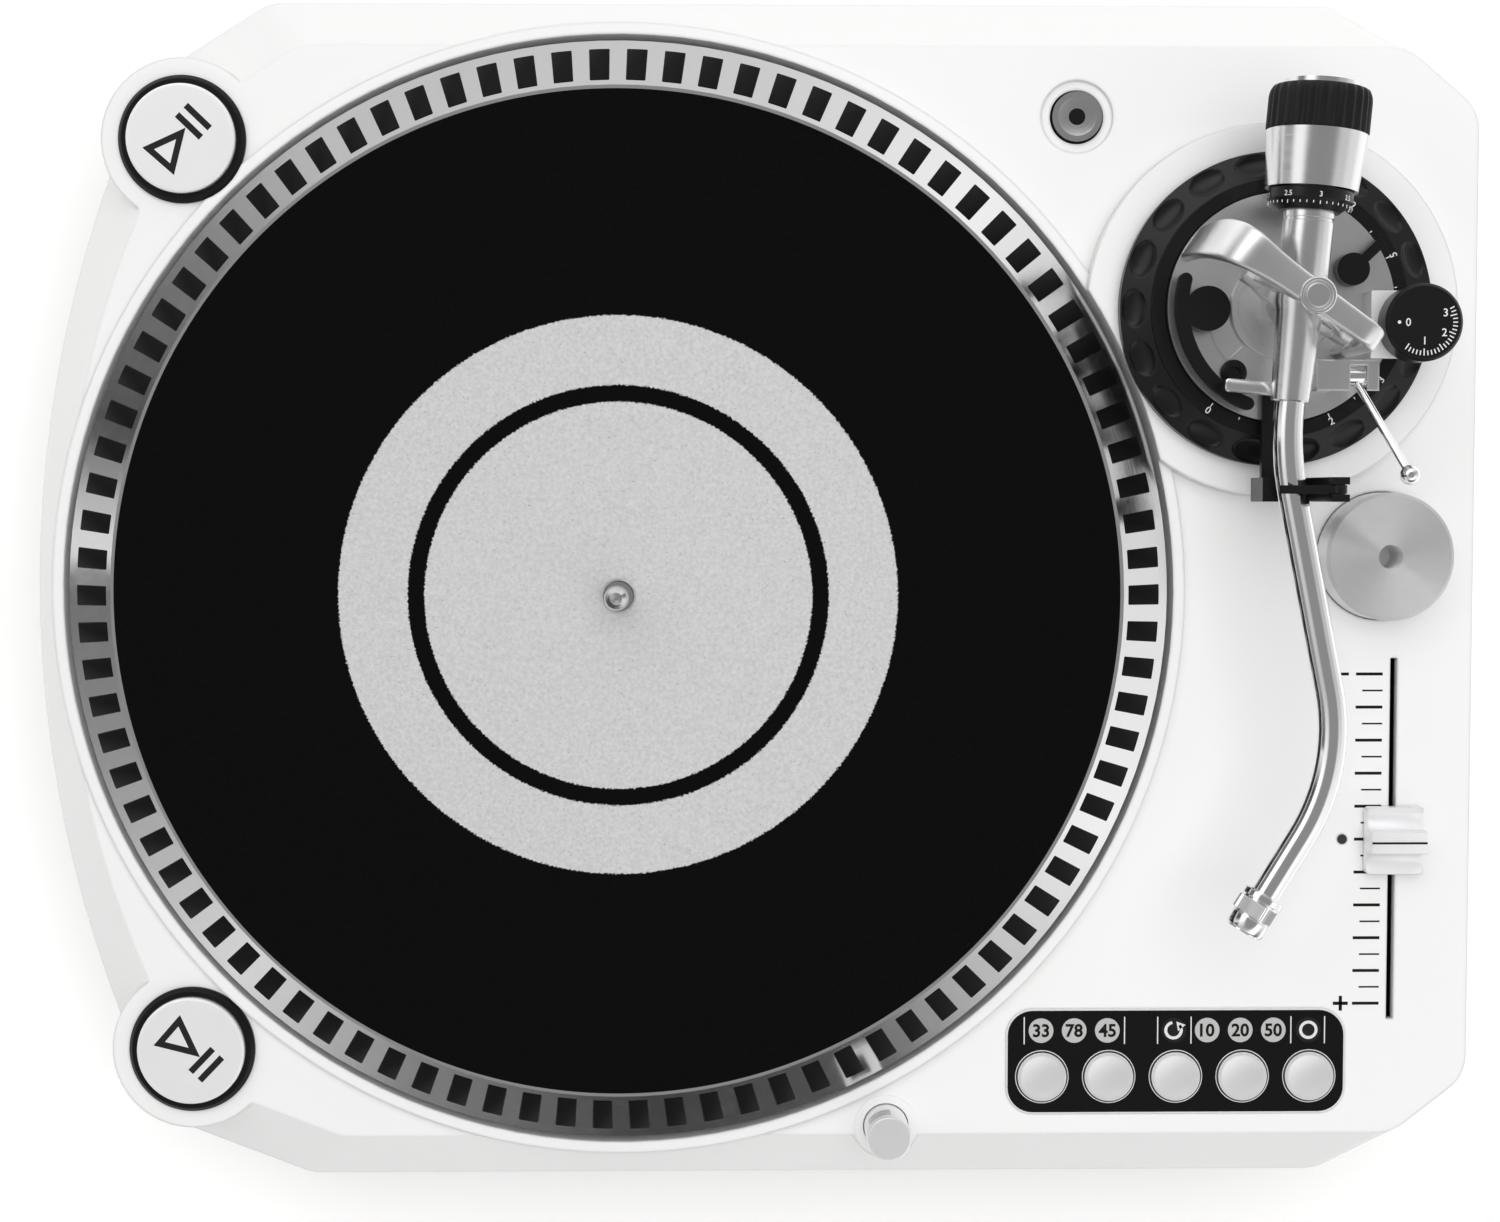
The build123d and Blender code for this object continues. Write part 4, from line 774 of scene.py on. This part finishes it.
def start_symbol(node, turn_deg, film):
    """Two bars and an open triangle on a start button, turned with the button."""
    lean, bar_length, bar_width, side_width = math.radians(-43.8), 9.75 * MM, 1.92 * MM, 1.9 * MM
    half_bar = Vector((math.cos(lean), math.sin(lean))) * bar_length / 2
    bars = [Vector((2.79, 3.46)) * MM, Vector((5.43, 6.21)) * MM]
    triangle = mm([(-9.43, -3.23), (0.35, 1.25), (-2.39, -9.37)])
    shapes = [stroke([bar - half_bar, bar + half_bar], bar_width, -film, film) for bar in bars]
    shapes.append(stroke(triangle, side_width, -film, film, closed=True))
    return [shape.placed(at(middle(node), turn_deg)) for shape in shapes]


def pitch_scale(look):
    """Ticks beside the fader, with a minus at the rear end and a plus at the front end."""
    fader = middle("fader_cap")
    heavy, light, plus_width = 0.9 * MM, 0.5 * MM, 1.0 * MM
    ends = fader.x - look.tick_end
    half = (look.tick_count - 1) / 2
    lines = []
    for k in range(look.tick_count):
        y = fader.y + look.tick_pitch * (k - half)
        reach, width = (look.tick_short, light) if k % 2 else (look.tick_long, heavy)
        lines.append(((ends - reach, y), (ends, y), width))
    sign_gap, minus_left, minus_right, arm = 3.6 * MM, 1.3 * MM, 1.4 * MM, 2.3 * MM
    x = ends - look.tick_long - sign_gap
    rear, front = fader.y + look.tick_pitch * half, fader.y - look.tick_pitch * half
    lines += [((x - minus_left, rear), (x + minus_right, rear), heavy),
              ((x - arm, front), (x + arm, front), plus_width),
              ((x, front - arm), (x, front + arm), plus_width)]
    return [stroke((start, end), width, DECK - look.film, DECK + look.film) for start, end, width in lines]


def fader_cap():
    """Slide cap: a section across Y swept along X, drawn in at both ends to round them, on a thin blade.

    Section height over |y|: wing − hollow·sin(π·t) on the wings, t from 0 to 1, and a flat ridge between.
    Stations are (share of half the length, millimetres drawn in).
    """
    low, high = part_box("fader_cap")
    centre = middle("fader_cap")
    half_x, half_y = (high.x - low.x) / 2, (high.y - low.y) / 2
    base, ridge, wing, hollow = DECK + 0.5 * MM, 3.4 * MM, 4.0 * MM, 1.7 * MM
    outer = np.linspace(0, 1, 14)
    wing_y = ridge + (half_y - ridge) * outer
    wing_z = base + wing - hollow * np.sin(math.pi * outer)
    top_y = np.r_[-wing_y[::-1], -ridge, ridge, wing_y]
    top_z = np.r_[wing_z[::-1], high.z, high.z, wing_z]
    section = np.c_[np.r_[-half_y, top_y, half_y], np.r_[base, top_z, base]]
    stations = np.array([(-1, 0.9), (-0.97, 0.35), (-0.9, 0), (0.9, 0), (0.97, 0.35), (1, 0.9)])
    inset = stations[:, 1:] * MM
    y = section[:, 0] - inset * np.sign(section[:, 0]) * (np.abs(section[:, 0]) > ridge)
    z = np.maximum(section[:, 1] - inset, base)
    x = np.repeat(stations[:, :1] * half_x, len(section), axis=1)
    points = np.stack([x + centre.x, y + centre.y, z], -1)
    blade_x, blade_y, blade_corner, blade_top = 1.6 * MM, 8 * MM, 0.3 * MM, DECK + 0.6 * MM
    blade = plate(rounded_outline(blade_x, blade_y, blade_corner), low.z, blade_top)
    return [Shape(points, capped_faces(*points.shape[:2])), blade.placed(at(foot(centre)))]


def fader_line(film):
    """Line across the ridge of the slide cap."""
    centre = middle("fader_cap")
    width, margin = 0.64 * MM, 0.4 * MM
    half = half_span("fader_cap") - margin
    ends = [(centre.x - half, centre.y), (centre.x + half, centre.y)]
    return stroke(ends, width, centre.z - film, centre.z + film)


def panel_print(look):
    """Digits on the lit discs, two plain signs, and dividers on the black panel."""
    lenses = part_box("legend_lenses")
    top = lenses[1].z
    row = (lenses[0].y + lenses[1].y) / 2
    low, high = top - look.film, top + look.film
    size, weight = 3.9 * MM, 0.035
    digits = {88.7: "33", 98.9: "78", 109.1: "45", 139.9: "10", 150.1: "20", 160.3: "50"}
    dark = [lettering(text, size, 2 * look.film, weight).placed(at((x * MM, row, top)))
            for x, text in digits.items()]
    radius, width, tip_deg = 2.4 * MM, 0.9 * MM, 400
    arrow = arc((129.5 * MM, row), radius, 100, tip_deg)
    head = plate(mm([(1.5, 0), (-1.1, 1.5), (-1.1, -1.5)]), low, high)
    ring = arc((171.1 * MM, row), radius, 0, 360, 49)[:-1]
    light = [stroke(arrow, width, low, high), head.placed(at((*arrow[-1], 0), tip_deg + 90)),
             stroke(ring, width, low, high, closed=True)]
    divider, reach = 0.35 * MM, 4.2 * MM
    for x in (83.5, 114.4, 124.6, 134.9, 165.7, 176.1):
        light.append(stroke([(x * MM, row - reach), (x * MM, row + reach)], divider, low, high))
    return dark, light


def panel_edge():
    """Bright strip along the edge of the panel: a painted highlight standing in for the light caught by the
    panel's bevelled edge.
    """
    low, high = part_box("control_panel")
    corner, width, depth, proud = 7.9 * MM, 0.5 * MM, 0.4 * MM, 0.05 * MM
    outline = rounded_outline(high.x - low.x, high.y - low.y, corner, 10)
    outline += np.array(middle("control_panel").xy)
    return stroke(outline, width, high.z - depth, high.z + proud, closed=True)


def key_ring(node):
    """Thin bright ring on the panel, round a key."""
    gap, width, depth, proud = 0.45 * MM, 0.3 * MM, 0.3 * MM, 0.05 * MM
    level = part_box("control_panel")[1].z
    inner = half_span(node) + gap
    outer, low, high = inner + width, level - depth, level + proud
    rows = [(inner, low), (inner, high), (outer, high), (outer, low)]
    return turned(rows, foot(middle(node)), segments=64, wrap=True)


class PLAYER_OT_controls(bpy.types.Operator):
    """Buttons, switch, panel, lamp, pitch fader and adapter, with their print."""

    bl_idname = "player.controls"
    bl_label = "Controls"

    def execute(self, context):
        look = context.scene.player_print
        satin = satin_silver("button_satin", (0.93, 0.93, 0.94), 0.8 * MM)
        black = moulded("bezel_black", (0.006, 0.006, 0.0065), 0.3, 0.5 * MM, shine=0.25)
        print_black, print_white = ink("print_black", look.ink), ink("print_white", look.white)
        symbol = ink("symbol_grey", (0.018, 0.018, 0.019))
        switch = middle("motor_switch")
        keys = [f"panel_button_{k}" for k in range(1, 6)]
        dress(satin, "start_button_rear", "start_button_front")
        dress(satin_silver("key_satin", (0.95, 0.95, 0.96), 0.4 * MM, 0.75), "lamp_barrel", *keys)
        dress(turned_metal("switch_turned", (0.75, 0.75, 0.76), switch, 0.2), "motor_switch")
        dress(black, "start_bezel_rear", "start_bezel_front", "fader_track")
        dress(moulded("sleeve_white", context.scene.player_casing.shell, 0.4), "lamp_sleeve")
        dress(moulded("panel_gloss", (0.004, 0.004, 0.0042), 0.12, 0.4 * MM, shine=0.3), "control_panel")
        dress(lit_legends(), "legend_lenses")
        dress(dark_glass("lamp_glass", (0.03, 0.03, 0.03)), "lamp_lens", "fader_lamp")
        dress(spun_metal("adapter_spun", (0.98, 0.98, 0.98), 0.58), "record_adapter")
        for node, turn in (("start_button_rear", 0), ("start_button_front", -90)):
            make_piece(f"{node}_symbol", start_symbol(node, turn, look.film), symbol, node, "black_satin")
        dish, dot_radius, dot_low, dot_high = 0.7 * MM, 2.5 * MM, -0.1 * MM, 0.2 * MM
        dot = disc((switch.x, switch.y, switch.z - dish), dot_radius, dot_low, dot_high)
        make_piece("switch_dot", [dot], print_black, "motor_switch", "black_satin")
        make_piece("pitch_scale", pitch_scale(look), print_black, "plinth", "black_satin")
        dark, light = panel_print(look)
        make_piece("panel_digits", dark, print_black, "plinth", "black_satin")
        make_piece("panel_signs", light, print_white, "plinth", "legend_white")
        # The strip along the panel's edge is a painted highlight of its bevel.
        make_piece("panel_edge", [panel_edge(), *map(key_ring, keys)], satin, "plinth", "silver_satin")
        make_piece("fader_grip", fader_cap(), satin, "pitch_fader", "silver_satin", replaces="fader_cap")
        make_piece("fader_line", [fader_line(look.film)], print_black, "pitch_fader", "black_satin")
        return {"FINISHED"}


def dimpled_ring(look):
    """Height ring: a turned section whose sloping rim sinks by d·√(1 − u² − v²) in each dimple.

    u runs round the ring and v across it, as shares of half a dimple's length and width.
    """
    low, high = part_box("height_ring")
    outer = half_span("height_ring")
    across = np.linspace(0, 1, 30)
    slope_r = outer + (look.ring_step_radius - outer) * across
    slope_z = low.z + look.ring_rim + (high.z - look.ring_step - low.z - look.ring_rim) * across
    rows = [(look.ring_bore, low.z), (outer, low.z), *zip(slope_r, slope_z)]
    rows += [(look.ring_step_radius, high.z), (look.ring_bore, high.z)]
    shape = turned(rows, foot(PIVOT), segments=36 * look.dimple_count, wrap=True)
    points = shape.points.reshape(len(rows), -1, 3)
    x, y = points[..., 0] - PIVOT.x, points[..., 1] - PIVOT.y
    step = 2 * math.pi / look.dimple_count
    turn = (np.arctan2(y, x) + step / 2) % step - step / 2
    u = turn * look.dimple_circle / (look.dimple_length / 2)
    v = (np.hypot(x, y) - look.dimple_circle) / (look.dimple_width / 2)
    sink = look.dimple_depth * np.sqrt(np.maximum(0, 1 - u ** 2 - v ** 2))
    sink[:2] = sink[-2:] = 0
    points[..., 2] -= sink
    return shape


def ring_scale(look, film):
    """Numbers 0 to 6 round the height ring, their tops to the pivot, with ticks and half ticks."""
    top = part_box("height_ring")[1].z
    first_deg, step_deg, width = 235, 30, 0.3 * MM
    numbers, start, end, half_end = 37.0 * MM, 34.5 * MM, 35.8 * MM, 35.3 * MM
    shapes = []
    for k in range(7):
        angle = first_deg + step_deg * k
        place = (*on_circle(PIVOT, numbers, angle), top)
        shapes.append(lettering(str(k), look.number_size, 2 * film).placed(at(place, angle + 90)))
        for bearing, reach in ((angle, end), (angle + step_deg / 2, half_end)):
            ends = [on_circle(PIVOT, radius, bearing) for radius in (start, reach)]
            shapes.append(stroke(ends, width, top - film, top + film))
    return shapes


def knob_scale(film):
    """Numbers and ticks on the anti-skating knob, with a dot beside the zero."""
    knob = middle("skate_knob")
    size, width, first_deg, step_deg = 2.3 * MM, 0.35 * MM, 234, 7
    long_start, start, end = 7.6 * MM, 8.2 * MM, 9.6 * MM
    dot_circle, dot_radius = 7.4 * MM, 0.5 * MM
    shapes = []
    for angle, radius, text in ((180, 4.8, "0"), (270, 5.3, "1"), (333, 6.4, "2"), (25, 6.6, "3")):
        place = (*on_circle(knob, radius * MM, angle), knob.z)
        shapes.append(lettering(text, size, 2 * film).placed(at(place)))
    shapes.append(disc((*on_circle(knob, dot_circle, 180), knob.z), dot_radius, -film, film, 16))
    for k in range(23):
        radii = (start if k % 5 else long_start, end)
        ends = [on_circle(knob, radius, first_deg + step_deg * k) for radius in radii]
        shapes.append(stroke(ends, width, knob.z - film, knob.z + film))
    return shapes


def on_barrel(along, radius, angle_deg):
    """Matrix to a spot on a barrel round the arm's axis: X runs round it, Y along it and Z outwards."""
    axis, side, other = (Vector(v) for v in axis_frame(ARM_BACK))
    angle = math.radians(angle_deg)
    outwards = side * math.cos(angle) + other * math.sin(angle)
    matrix = Matrix((axis.cross(outwards), axis, outwards)).transposed().to_4x4()
    matrix.translation = PIVOT + axis * along + outwards * radius
    return matrix


def weight_grip():
    """Rubber grip: shallow flutes round a barrel that draws in at its far end by a quarter ellipse."""
    start, lip, end, bore, radius = 47.8, 0.5, 60.6, 10.75, 14.6
    chamfer, flute, least_flute, draw, run = 0.6, 0.7, 0.01, 1.5, 3.6
    rows = [(bore, start, 0), (radius - chamfer, start, 0), (radius, start + lip, flute)]
    for a in np.linspace(0, math.pi / 2, 7):
        inwards, back = draw * (1 - math.cos(a)), run * (1 - math.sin(a))
        rows.append((radius - inwards, end - back, flute * math.cos(a) + least_flute))
    rows.append((bore, end, 0))
    return turned(mm(rows), PIVOT, ARM_BACK, segments=252, flutes=28, wrap=True)


def dial_scale(film):
    """Numbers and ticks round the stylus force dial, from 0 to 3.5."""
    tick_at, tick_radius, width, size = 26.9 * MM, 11.95 * MM, 0.25 * MM, 1.5 * MM
    number_at, number_radius = 29.2 * MM, 12.0 * MM
    start, long_start, end = -0.3 * MM, -0.55 * MM, 0.4 * MM
    ticks, ticks_per_number = 40, 5
    shapes = []
    for k in range(ticks):
        angle = 360 * k / ticks
        numbered = k % ticks_per_number == 0
        tick = stroke([(0, long_start if numbered else start), (0, end)], width, -film, film)
        shapes.append(tick.placed(on_barrel(tick_at, tick_radius, angle)))
        if numbered:
            number = lettering(f"{k / 10:g}", size, 2 * film)
            shapes.append(number.placed(on_barrel(number_at, number_radius, angle)))
    return shapes


class PLAYER_OT_arm(bpy.types.Operator):
    """Tone arm, its base, height ring, counterweight and small levers."""

    bl_idname = "player.arm"
    bl_label = "Arm"

    def execute(self, context):
        look = context.scene.player_arm
        film = context.scene.player_print.film
        white = ink("scale_white", context.scene.player_print.white)
        black = moulded("arm_black", look.ring, 0.3, 0.4 * MM, shine=0.3)
        rubber = moulded("grip_rubber", (0.005, 0.005, 0.005), 0.5, shine=0.3)
        chrome = plain_metal("tube_chrome", look.chrome, 0.1, 0.3 * MM)
        satin = plain_metal("casting_satin", look.satin, 0.33, 0.8 * MM)
        brushed = brushed_metal("housing_satin", look.satin, ARM_BACK, 0.24, depth=0.3)
        dress(black, "ring_collar", "stylus_force_dial", "skate_knob", "cue_lift", "lock_lever", "arm_rest",
              "rest_clip")
        dress(chrome, "arm_tube", "cue_lever")
        dress(satin, "gimbal_ring")
        dress(satin_silver("bracket_satin", (0.92, 0.92, 0.92), 0.4 * MM), "skate_bracket")
        dress(turned_metal("base_turned", look.satin, PIVOT, 0.32), "arm_base_plate")
        dress(brushed_metal("weight_brushed", look.steel, ARM_BACK), "counterweight")
        for piece in (
            ("ring_scale", ring_scale(look, film), white, "height_ring", "legend_white"),
            ("knob_scale", knob_scale(film), white, "skate_knob", "legend_white"),
            ("fluted_grip", [weight_grip()], rubber, "counterweight", "rubber", "weight_grip"),
            ("cast_bridge", [self.bridge()], satin, "arm_base", "arm_silver", "pivot_bridge"),
            ("dimpled_ring", [dimpled_ring(look)], black, "height_ring", "black_gloss", "height_ring"),
            ("round_housing", self.housing(), brushed, "arm", "arm_silver", "arm_housing"),
            ("knurled_collar", [self.collar()], chrome, "locking_collar", "arm_silver", "locking_collar"),
            ("pivot_screw", [self.screw()], chrome, "arm_base", "arm_silver"),
            ("base_bed", self.bed(), satin, "arm_base", "arm_silver"),
            ("base_screw", [self.socket_screw()], black, "arm_base", "black_satin"),
            ("skate_pointer", [self.pointer(film)], white, "arm_base", "legend_white"),
            ("dial_scale", dial_scale(film), white, "stylus_force_dial", "legend_white"),
        ):
            make_piece(*piece)
        return {"FINISHED"}

    def bridge(self):
        """Bridge over the pivot: a broad curved leg at the left, a narrow bar, a plain leg at the right."""
        lean, corner, base = math.radians(-35), 0.9 * MM, 112.0
        rows = ((-31.8, base, 11, 3.0), (-31.8, 122, 11.5, 3.2), (-30.5, 140, 12.5, 3.4),
                (-25, 152.2, 12, 3.5), (-14, 152.5, 8.4, 3.5), (0, 152.5, 7.4, 3.5), (12, 152.5, 7, 3.5),
                (21.3, 152.5, 6.6, 3.4), (21.3, 140, 6.2, 3.4), (21.3, base, 6.2, 3.4))
        return swept(eased(mm(rows)), foot(PIVOT), (math.cos(lean), math.sin(lean), 0), corner)

    def housing(self):
        """Arm housing: a turned taper that runs on as a grooved stub, the tilt axle and a flat finger."""
        front, groove, end = -29.0, 22.6, 51.0
        rows = ((0, front), (5.1, front), (5.5, front + 0.4), (6.6, -3.5), (7.25, -0.5), (7.25, groove - 0.2),
                (6.9, groove), (6.9, groove + 0.8), (7.25, groove + 1.0), (7.25, end), (0, end))
        reach, radius = 14.5, 2.0
        axle = ((0, -reach), (radius, -reach), (radius, reach), (0, reach))
        outline = rounded_outline(size_x=18.0 * MM, size_y=3.9 * MM, corner=1.2 * MM)
        outline += np.array((-9.0, -25.4)) * MM
        finger = plate(outline, low=-6.9 * MM, high=-4.5 * MM, bevel=0.3 * MM)
        turn = math.degrees(math.atan2(ARM_BACK.y, ARM_BACK.x)) - 90
        return [turned(mm(rows), PIVOT, ARM_BACK),
                turned(mm(axle), PIVOT, joint("arm_tilt")["axis"], segments=32),
                finger.placed(at(PIVOT, turn))]

    def collar(self):
        """Locking collar: a flange, a knurled band and a smooth barrel round the headshell socket."""
        bore, start, end, knurl = 5.05, 0.35, 12.1, 0.4
        rows = ((bore, start, 0), (6.35, start, 0), (6.35, 2.2, 0), (5.6, 2.4, 0), (5.6, 2.9, 0),
                (6.3, 3.1, knurl), (6.3, 7.2, knurl), (5.6, 7.4, 0), (5.6, 7.8, 0), (5.9, 8.0, 0),
                (5.9, end - 0.5, 0), (5.5, end, 0), (bore, end, 0))
        return turned(mm(rows), HEAD_START, HEAD_DIR, segments=288, flutes=48, wrap=True)

    def screw(self):
        """Pivot screw: a rimmed head with a domed middle."""
        seat, rim, top = 154.0, 155.2, 155.45
        rows = ((0, seat), (5.2, seat), (5.2, rim - 0.3), (4.9, rim), (4.2, rim), (3.9, rim - 0.5),
                (3.5, rim - 0.5), (3.3, rim + 0.1), (2.0, top), (0, top))
        return turned(mm(rows), foot(PIVOT))

    def bed(self):
        """Raised bed beside the cue arc, a ring round the pivot and the cue cover."""
        rows = ((13, -0.2), (13, 0.9), (13.3, 1.2), (15.2, 1.2), (15.5, 0.9), (15.5, -0.2))
        radius, width, root, rise = 19.2 * MM, 6.4 * MM, 0.2 * MM, 1.0 * MM
        bed = stroke(arc(PIVOT, radius, 172, 225, 40), width, PLATE_TOP - root, PLATE_TOP + rise)
        return [turned(mm(rows, PLATE_TOP), foot(PIVOT), wrap=True), bed, *self.cue_cover()]

    def cue_cover(self):
        """Block over the cue lever's axle: a post and a roof with a slot, open to the front."""
        left, post, slot, slot_end, right = (PIVOT.x + x * MM for x in (8.5, 13.8, 18.5, 23.5, 27.0))
        front, slot_rear, rear = (PIVOT.y + y * MM for y in (-25.0, -17.6, -15.9))
        root, under, overlap, roof = (PLATE_TOP + z * MM for z in (-0.2, 7.8, 7.9, 8.5))
        outline = [(left, front), (slot, front), (slot, slot_rear), (slot_end, slot_rear), (slot_end, front),
                   (right, front), (right, rear), (left, rear)]
        block = [(left, front), (post, front), (post, rear), (left, rear)]
        return [plate(outline, under, roof), plate(block, root, overlap)]

    def socket_screw(self):
        """Black screw with a recessed head."""
        spot = PIVOT + Vector((-14.2, -19.4, 0)) * MM
        rows = ((0, 0.9), (1.6, 0.9), (1.8, 1.5), (3.4, 1.5), (3.9, 1.1), (3.9, -0.2), (0, -0.2))
        return turned(mm(rows, PLATE_TOP), foot(spot), segments=48)

    def pointer(self, film):
        """Small triangle on the bracket, pointing at the knob."""
        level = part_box("skate_bracket")[1].z
        spot, width = PIVOT + Vector((26.2, -5.2, 0)) * MM, 0.45 * MM
        corners = mm([(-1.2, 1.2), (1.2, 0), (-1.2, -1.2)]) + np.array(spot.xy)
        return stroke(corners, width, level - film, level + film, closed=True)


class PLAYER_OT_works(bpy.types.Operator):
    """Motor, boards and rear connections."""

    bl_idname = "player.works"
    bl_label = "Works"

    def execute(self, context):
        steel = plain_metal("works_steel", (0.5, 0.5, 0.5), 0.4)
        black = moulded("rear_black", (0.02, 0.02, 0.02), 0.5, 0.5 * MM)
        dress(steel, "bearing_housing", "motor_screws", "stator_core", "usb_socket")
        dress(plain_metal("winding_copper", (0.7, 0.32, 0.16), 0.35), "stator_coils", "transformer")
        dress(circuit_board(), "main_board", "power_board", "control_board")
        dress(black, "rear_panel", "mains_inlet", "line_switch")
        dress(plain_metal("plated_brass", (0.8, 0.62, 0.3), 0.2), "rca_jacks", "ground_terminal")
        return {"FINISHED"}


# Stage

def room_light(look):
    """Soft room: uneven walls, a ceiling with a bright and a fainter side, and a dim patch overhead.

    Stops are (share of a turn from -X by way of -Y, brightness of the wall there).
    """
    stops = ((0.0, 0.12), (0.055, 0.3), (0.125, 0.75), (0.18, 0.22), (0.25, 0.04), (0.32, 0.08), (0.36, 0.5),
             (0.42, 1.0), (0.5, 0.8), (0.57, 0.45), (0.63, 1.0), (0.71, 0.65), (0.85, 0.55), (0.9, 0.2),
             (0.96, 0.05), (1.0, 0.12))
    wall_level, ceiling_level, patch_level = 1.3, 1.35, 0.34
    one_side, one_share = math.radians(125), 0.4
    pair_turn, pair_share = math.radians(240), 0.8
    world = bpy.data.worlds.new("room")
    bpy.context.scene.world = world
    room = Shader(world)
    x, y, z = room.parts(room.node("ShaderNodeTexCoord", output="Generated"))
    bearing = y.arctan2(x)
    share = bearing / (2 * math.pi) + 0.5
    wall = room.node("ShaderNodeValToRGB", {"stops": stops}, {"Fac": share}) * wall_level
    glow = (bearing - one_side).cosine() * one_share
    pair = (bearing * 2 - pair_turn).cosine() * pair_share
    above, patch = z.ramp(0.3, 0.5), z.ramp(0.72, 0.88)
    ceiling = (ceiling_level + glow + pair) * (1 - patch) + patch * patch_level
    level = wall * (1 - above) + ceiling * above
    light = room.node("ShaderNodeBackground", None, {"Color": level, "Strength": look.world})
    room.node("ShaderNodeOutputWorld", None, {"Surface": light})


class PLAYER_OT_stage(bpy.types.Operator):
    """Floor, room light, lamp and camera."""

    bl_idname = "player.stage"
    bl_label = "Stage"

    def execute(self, context):
        look = context.scene.player_stage
        scene = context.scene
        scene.view_settings.view_transform = "Standard"
        room_light(look)
        camera = self.camera(look)
        for thing in (self.floor(look), self.lamp(look), camera):
            scene.collection.objects.link(thing)
        scene.camera = camera
        return {"FINISHED"}

    def floor(self, look):
        """Plain pale floor."""
        reach = 3.0
        mesh = bpy.data.meshes.new("floor")
        corners = [(-reach, -reach, 0), (reach, -reach, 0), (reach, reach, 0), (-reach, reach, 0)]
        mesh.from_pydata(corners, [], [(0, 1, 2, 3)])
        mesh.materials.append(floor_paper(look.floor, look.backdrop))
        return bpy.data.objects.new("floor", mesh)

    def lamp(self, look):
        """Large soft lamp overhead, a little to the right and rear, left out of mirror images."""
        data = bpy.data.lights.new("soft_lamp", "AREA")
        data.shape = "DISK"
        data.size = 1.5
        data.energy = look.key
        lamp = bpy.data.objects.new("soft_lamp", data)
        lamp.location = (0.22, 0.2, 1.6)
        lamp.visible_glossy = False
        lamp.rotation_euler = (-lamp.location).to_track_quat("-Z", "Y").to_euler()
        return lamp

    def camera(self, look):
        """Camera above the deck, leaning a little."""
        data = bpy.data.cameras.new("camera")
        data.sensor_fit = "HORIZONTAL"
        data.sensor_width = SENSOR_WIDTH
        data.lens = look.focal_pixels * SENSOR_WIDTH / IMAGE_WIDTH
        camera = bpy.data.objects.new("camera", data)
        lean = Matrix.Rotation(look.roll, 4, "Y") @ Matrix.Rotation(look.pitch, 4, "X")
        camera.matrix_world = Matrix.Translation((look.right, look.rear, look.height)) @ lean
        return camera


class PLAYER_PT_panel(bpy.types.Panel):
    """Sidebar panel with a button for each group of pieces."""

    bl_idname = "PLAYER_PT_panel"
    bl_label = "Record player"
    bl_space_type = "VIEW_3D"
    bl_region_type = "UI"
    bl_category = "Player"

    def draw(self, context):
        for operator in OPERATORS:
            self.layout.operator(operator.bl_idname)


LOOKS = {
    "player_casing": CasingLook,
    "player_platter": PlatterLook,
    "player_print": PrintLook,
    "player_arm": ArmLook,
    "player_stage": StageLook,
}
OPERATORS = (
    PLAYER_OT_casing, PLAYER_OT_platter, PLAYER_OT_controls, PLAYER_OT_arm, PLAYER_OT_works, PLAYER_OT_stage,
)
CLASSES = (*LOOKS.values(), *OPERATORS, PLAYER_PT_panel)


def register():
    """Adds the classes and their settings."""
    for cls in CLASSES:
        bpy.utils.register_class(cls)
    for name, group in LOOKS.items():
        setattr(bpy.types.Scene, name, PointerProperty(type=group))


def unregister():
    """Takes the settings and classes away again."""
    for name in LOOKS:
        delattr(bpy.types.Scene, name)
    for cls in reversed(CLASSES):
        bpy.utils.unregister_class(cls)


def main():
    """Registers the add-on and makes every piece."""
    register()
    for operator in OPERATORS:
        group, name = operator.bl_idname.split(".")
        getattr(getattr(bpy.ops, group), name)()


if __name__ == "__main__":
    main()
